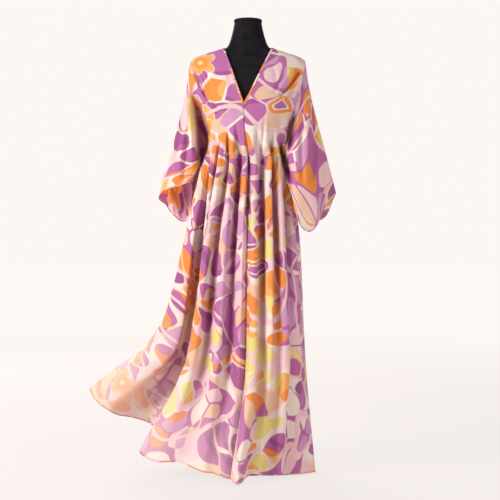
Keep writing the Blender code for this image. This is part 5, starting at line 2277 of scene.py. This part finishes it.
@dataclass
class Studio:
    """A pale studio: floor, soft light and the camera square to the front. Sizes are in metres."""

    camera_place: tuple = (0.0066, -4.0, 0.735)
    half_view: float = 0.8275
    sensor: float = 36.0
    floor: str = "#4b4644"
    paper: str = "#fdf7f4"
    sky: str = "#fffaf7"
    sky_strength: float = 0.40
    floor_size: float = 80.0
    # The paper's own glow: from where to where it grows, and its least and most
    glow_reach: tuple = (1.5, 7.5)
    glow: tuple = (0.82, 0.97)
    aim: tuple = (0.0, 0.0, 0.8)
    # Name, place, size and power of each lamp
    lamps: tuple = (
        ("key", (-3.3, -2.3, 2.2), 1.3, 185.0),
        ("fill", (2.6, -3.0, 1.5), 2.0, 46.0),
        ("back", (-1.7, 3.6, 3.0), 2.6, 230.0),
    )

    def build_camera(self) -> None:
        """The camera, level, four metres in front."""
        data = bpy.data.cameras.new("camera")
        data.sensor_width = self.sensor
        data.lens = self.sensor * -self.camera_place[1] / (2 * self.half_view)
        camera = bpy.data.objects.new("camera", data)
        camera.location = self.camera_place
        camera.rotation_euler = (math.radians(90.0), 0.0, 0.0)
        bpy.context.scene.collection.objects.link(camera)
        bpy.context.scene.camera = camera

    def build(self) -> None:
        """The floor, the lamps and the light all round."""
        self.build_floor()
        for lamp in self.lamps:
            self.build_lamp(*lamp)
        self.build_world()
        bpy.context.scene.view_settings.view_transform = "Standard"

    def build_floor(self) -> None:
        """A wide floor of plain paper which glows from within, a little more further out, where the lamps
        light it less, so that it looks evenly bright.
        """
        bpy.ops.object.select_all(action="DESELECT")
        bpy.ops.mesh.primitive_plane_add(size=self.floor_size, location=(0, 0, 0))
        floor = bpy.context.active_object
        floor.name = "floor"
        paper, tree = new_material("studio_paper")
        place = add(tree, "ShaderNodeTexCoord").outputs["Object"]
        out = add(tree, VECTOR_MATH, {"operation": "LENGTH"}, {0: place}).outputs["Value"]
        reach = dict(zip(("From Min", "From Max"), self.glow_reach))
        strength = dict(zip(("To Min", "To Max"), self.glow))
        pool = add(
            tree,
            "ShaderNodeMapRange",
            {"interpolation_type": "SMOOTHSTEP", **reach, **strength},
            {"Value": out},
        )
        shader = add(
            tree,
            PRINCIPLED,
            {
                "Base Color": linear(self.floor),
                "Emission Color": linear(self.paper),
                "Roughness": 0.9,
                "Specular IOR Level": 0.1,
            },
            {"Emission Strength": pool.outputs["Result"]},
        )
        add(tree, "ShaderNodeOutputMaterial", {}, {"Surface": shader.outputs[0]})
        floor.data.materials.append(paper)

    def build_world(self) -> None:
        """Even light from all round, behind it the paper's own colour."""
        world = bpy.data.worlds.new("studio")
        bpy.context.scene.world = world
        world.use_nodes = True
        tree = world.node_tree
        tree.nodes.clear()
        ray = add(tree, "ShaderNodeLightPath")
        seen = add(tree, "ShaderNodeBackground", {"Color": linear(self.paper), "Strength": 1.0})
        lit = add(tree, "ShaderNodeBackground", {"Color": linear(self.sky), "Strength": self.sky_strength})
        both = add(
            tree,
            "ShaderNodeMixShader",
            {},
            {0: ray.outputs["Is Camera Ray"], 1: lit.outputs[0], 2: seen.outputs[0]},
        )
        add(tree, "ShaderNodeOutputWorld", {}, {"Surface": both.outputs[0]})

    def build_lamp(self, name: str, place: tuple, size: float, power: float) -> None:
        """A square soft lamp that looks at the dress.

        Args:
            name: its name.
            place: where it hangs.
            size: its width and height.
            power: its power, in watts.
        """
        data = bpy.data.lights.new(name, "AREA")
        data.shape = "SQUARE"
        data.size = size
        data.energy = power
        lamp = bpy.data.objects.new(name, data)
        lamp.location = place
        lamp.rotation_mode = "QUATERNION"
        lamp.rotation_quaternion = (Vector(self.aim) - Vector(place)).to_track_quat("-Z", "Y")
        bpy.context.scene.collection.objects.link(lamp)


def main() -> None:
    """Builds the dress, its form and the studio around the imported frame."""
    logging.basicConfig(level=logging.INFO, format="%(message)s")
    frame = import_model()
    studio = Studio()
    studio.build_camera()
    finishes = Finishes()
    DressForm(finishes).build()
    Stand(finishes).build(frame)
    Dress(finishes).build()
    studio.build()


if __name__ == "__main__":
    main()
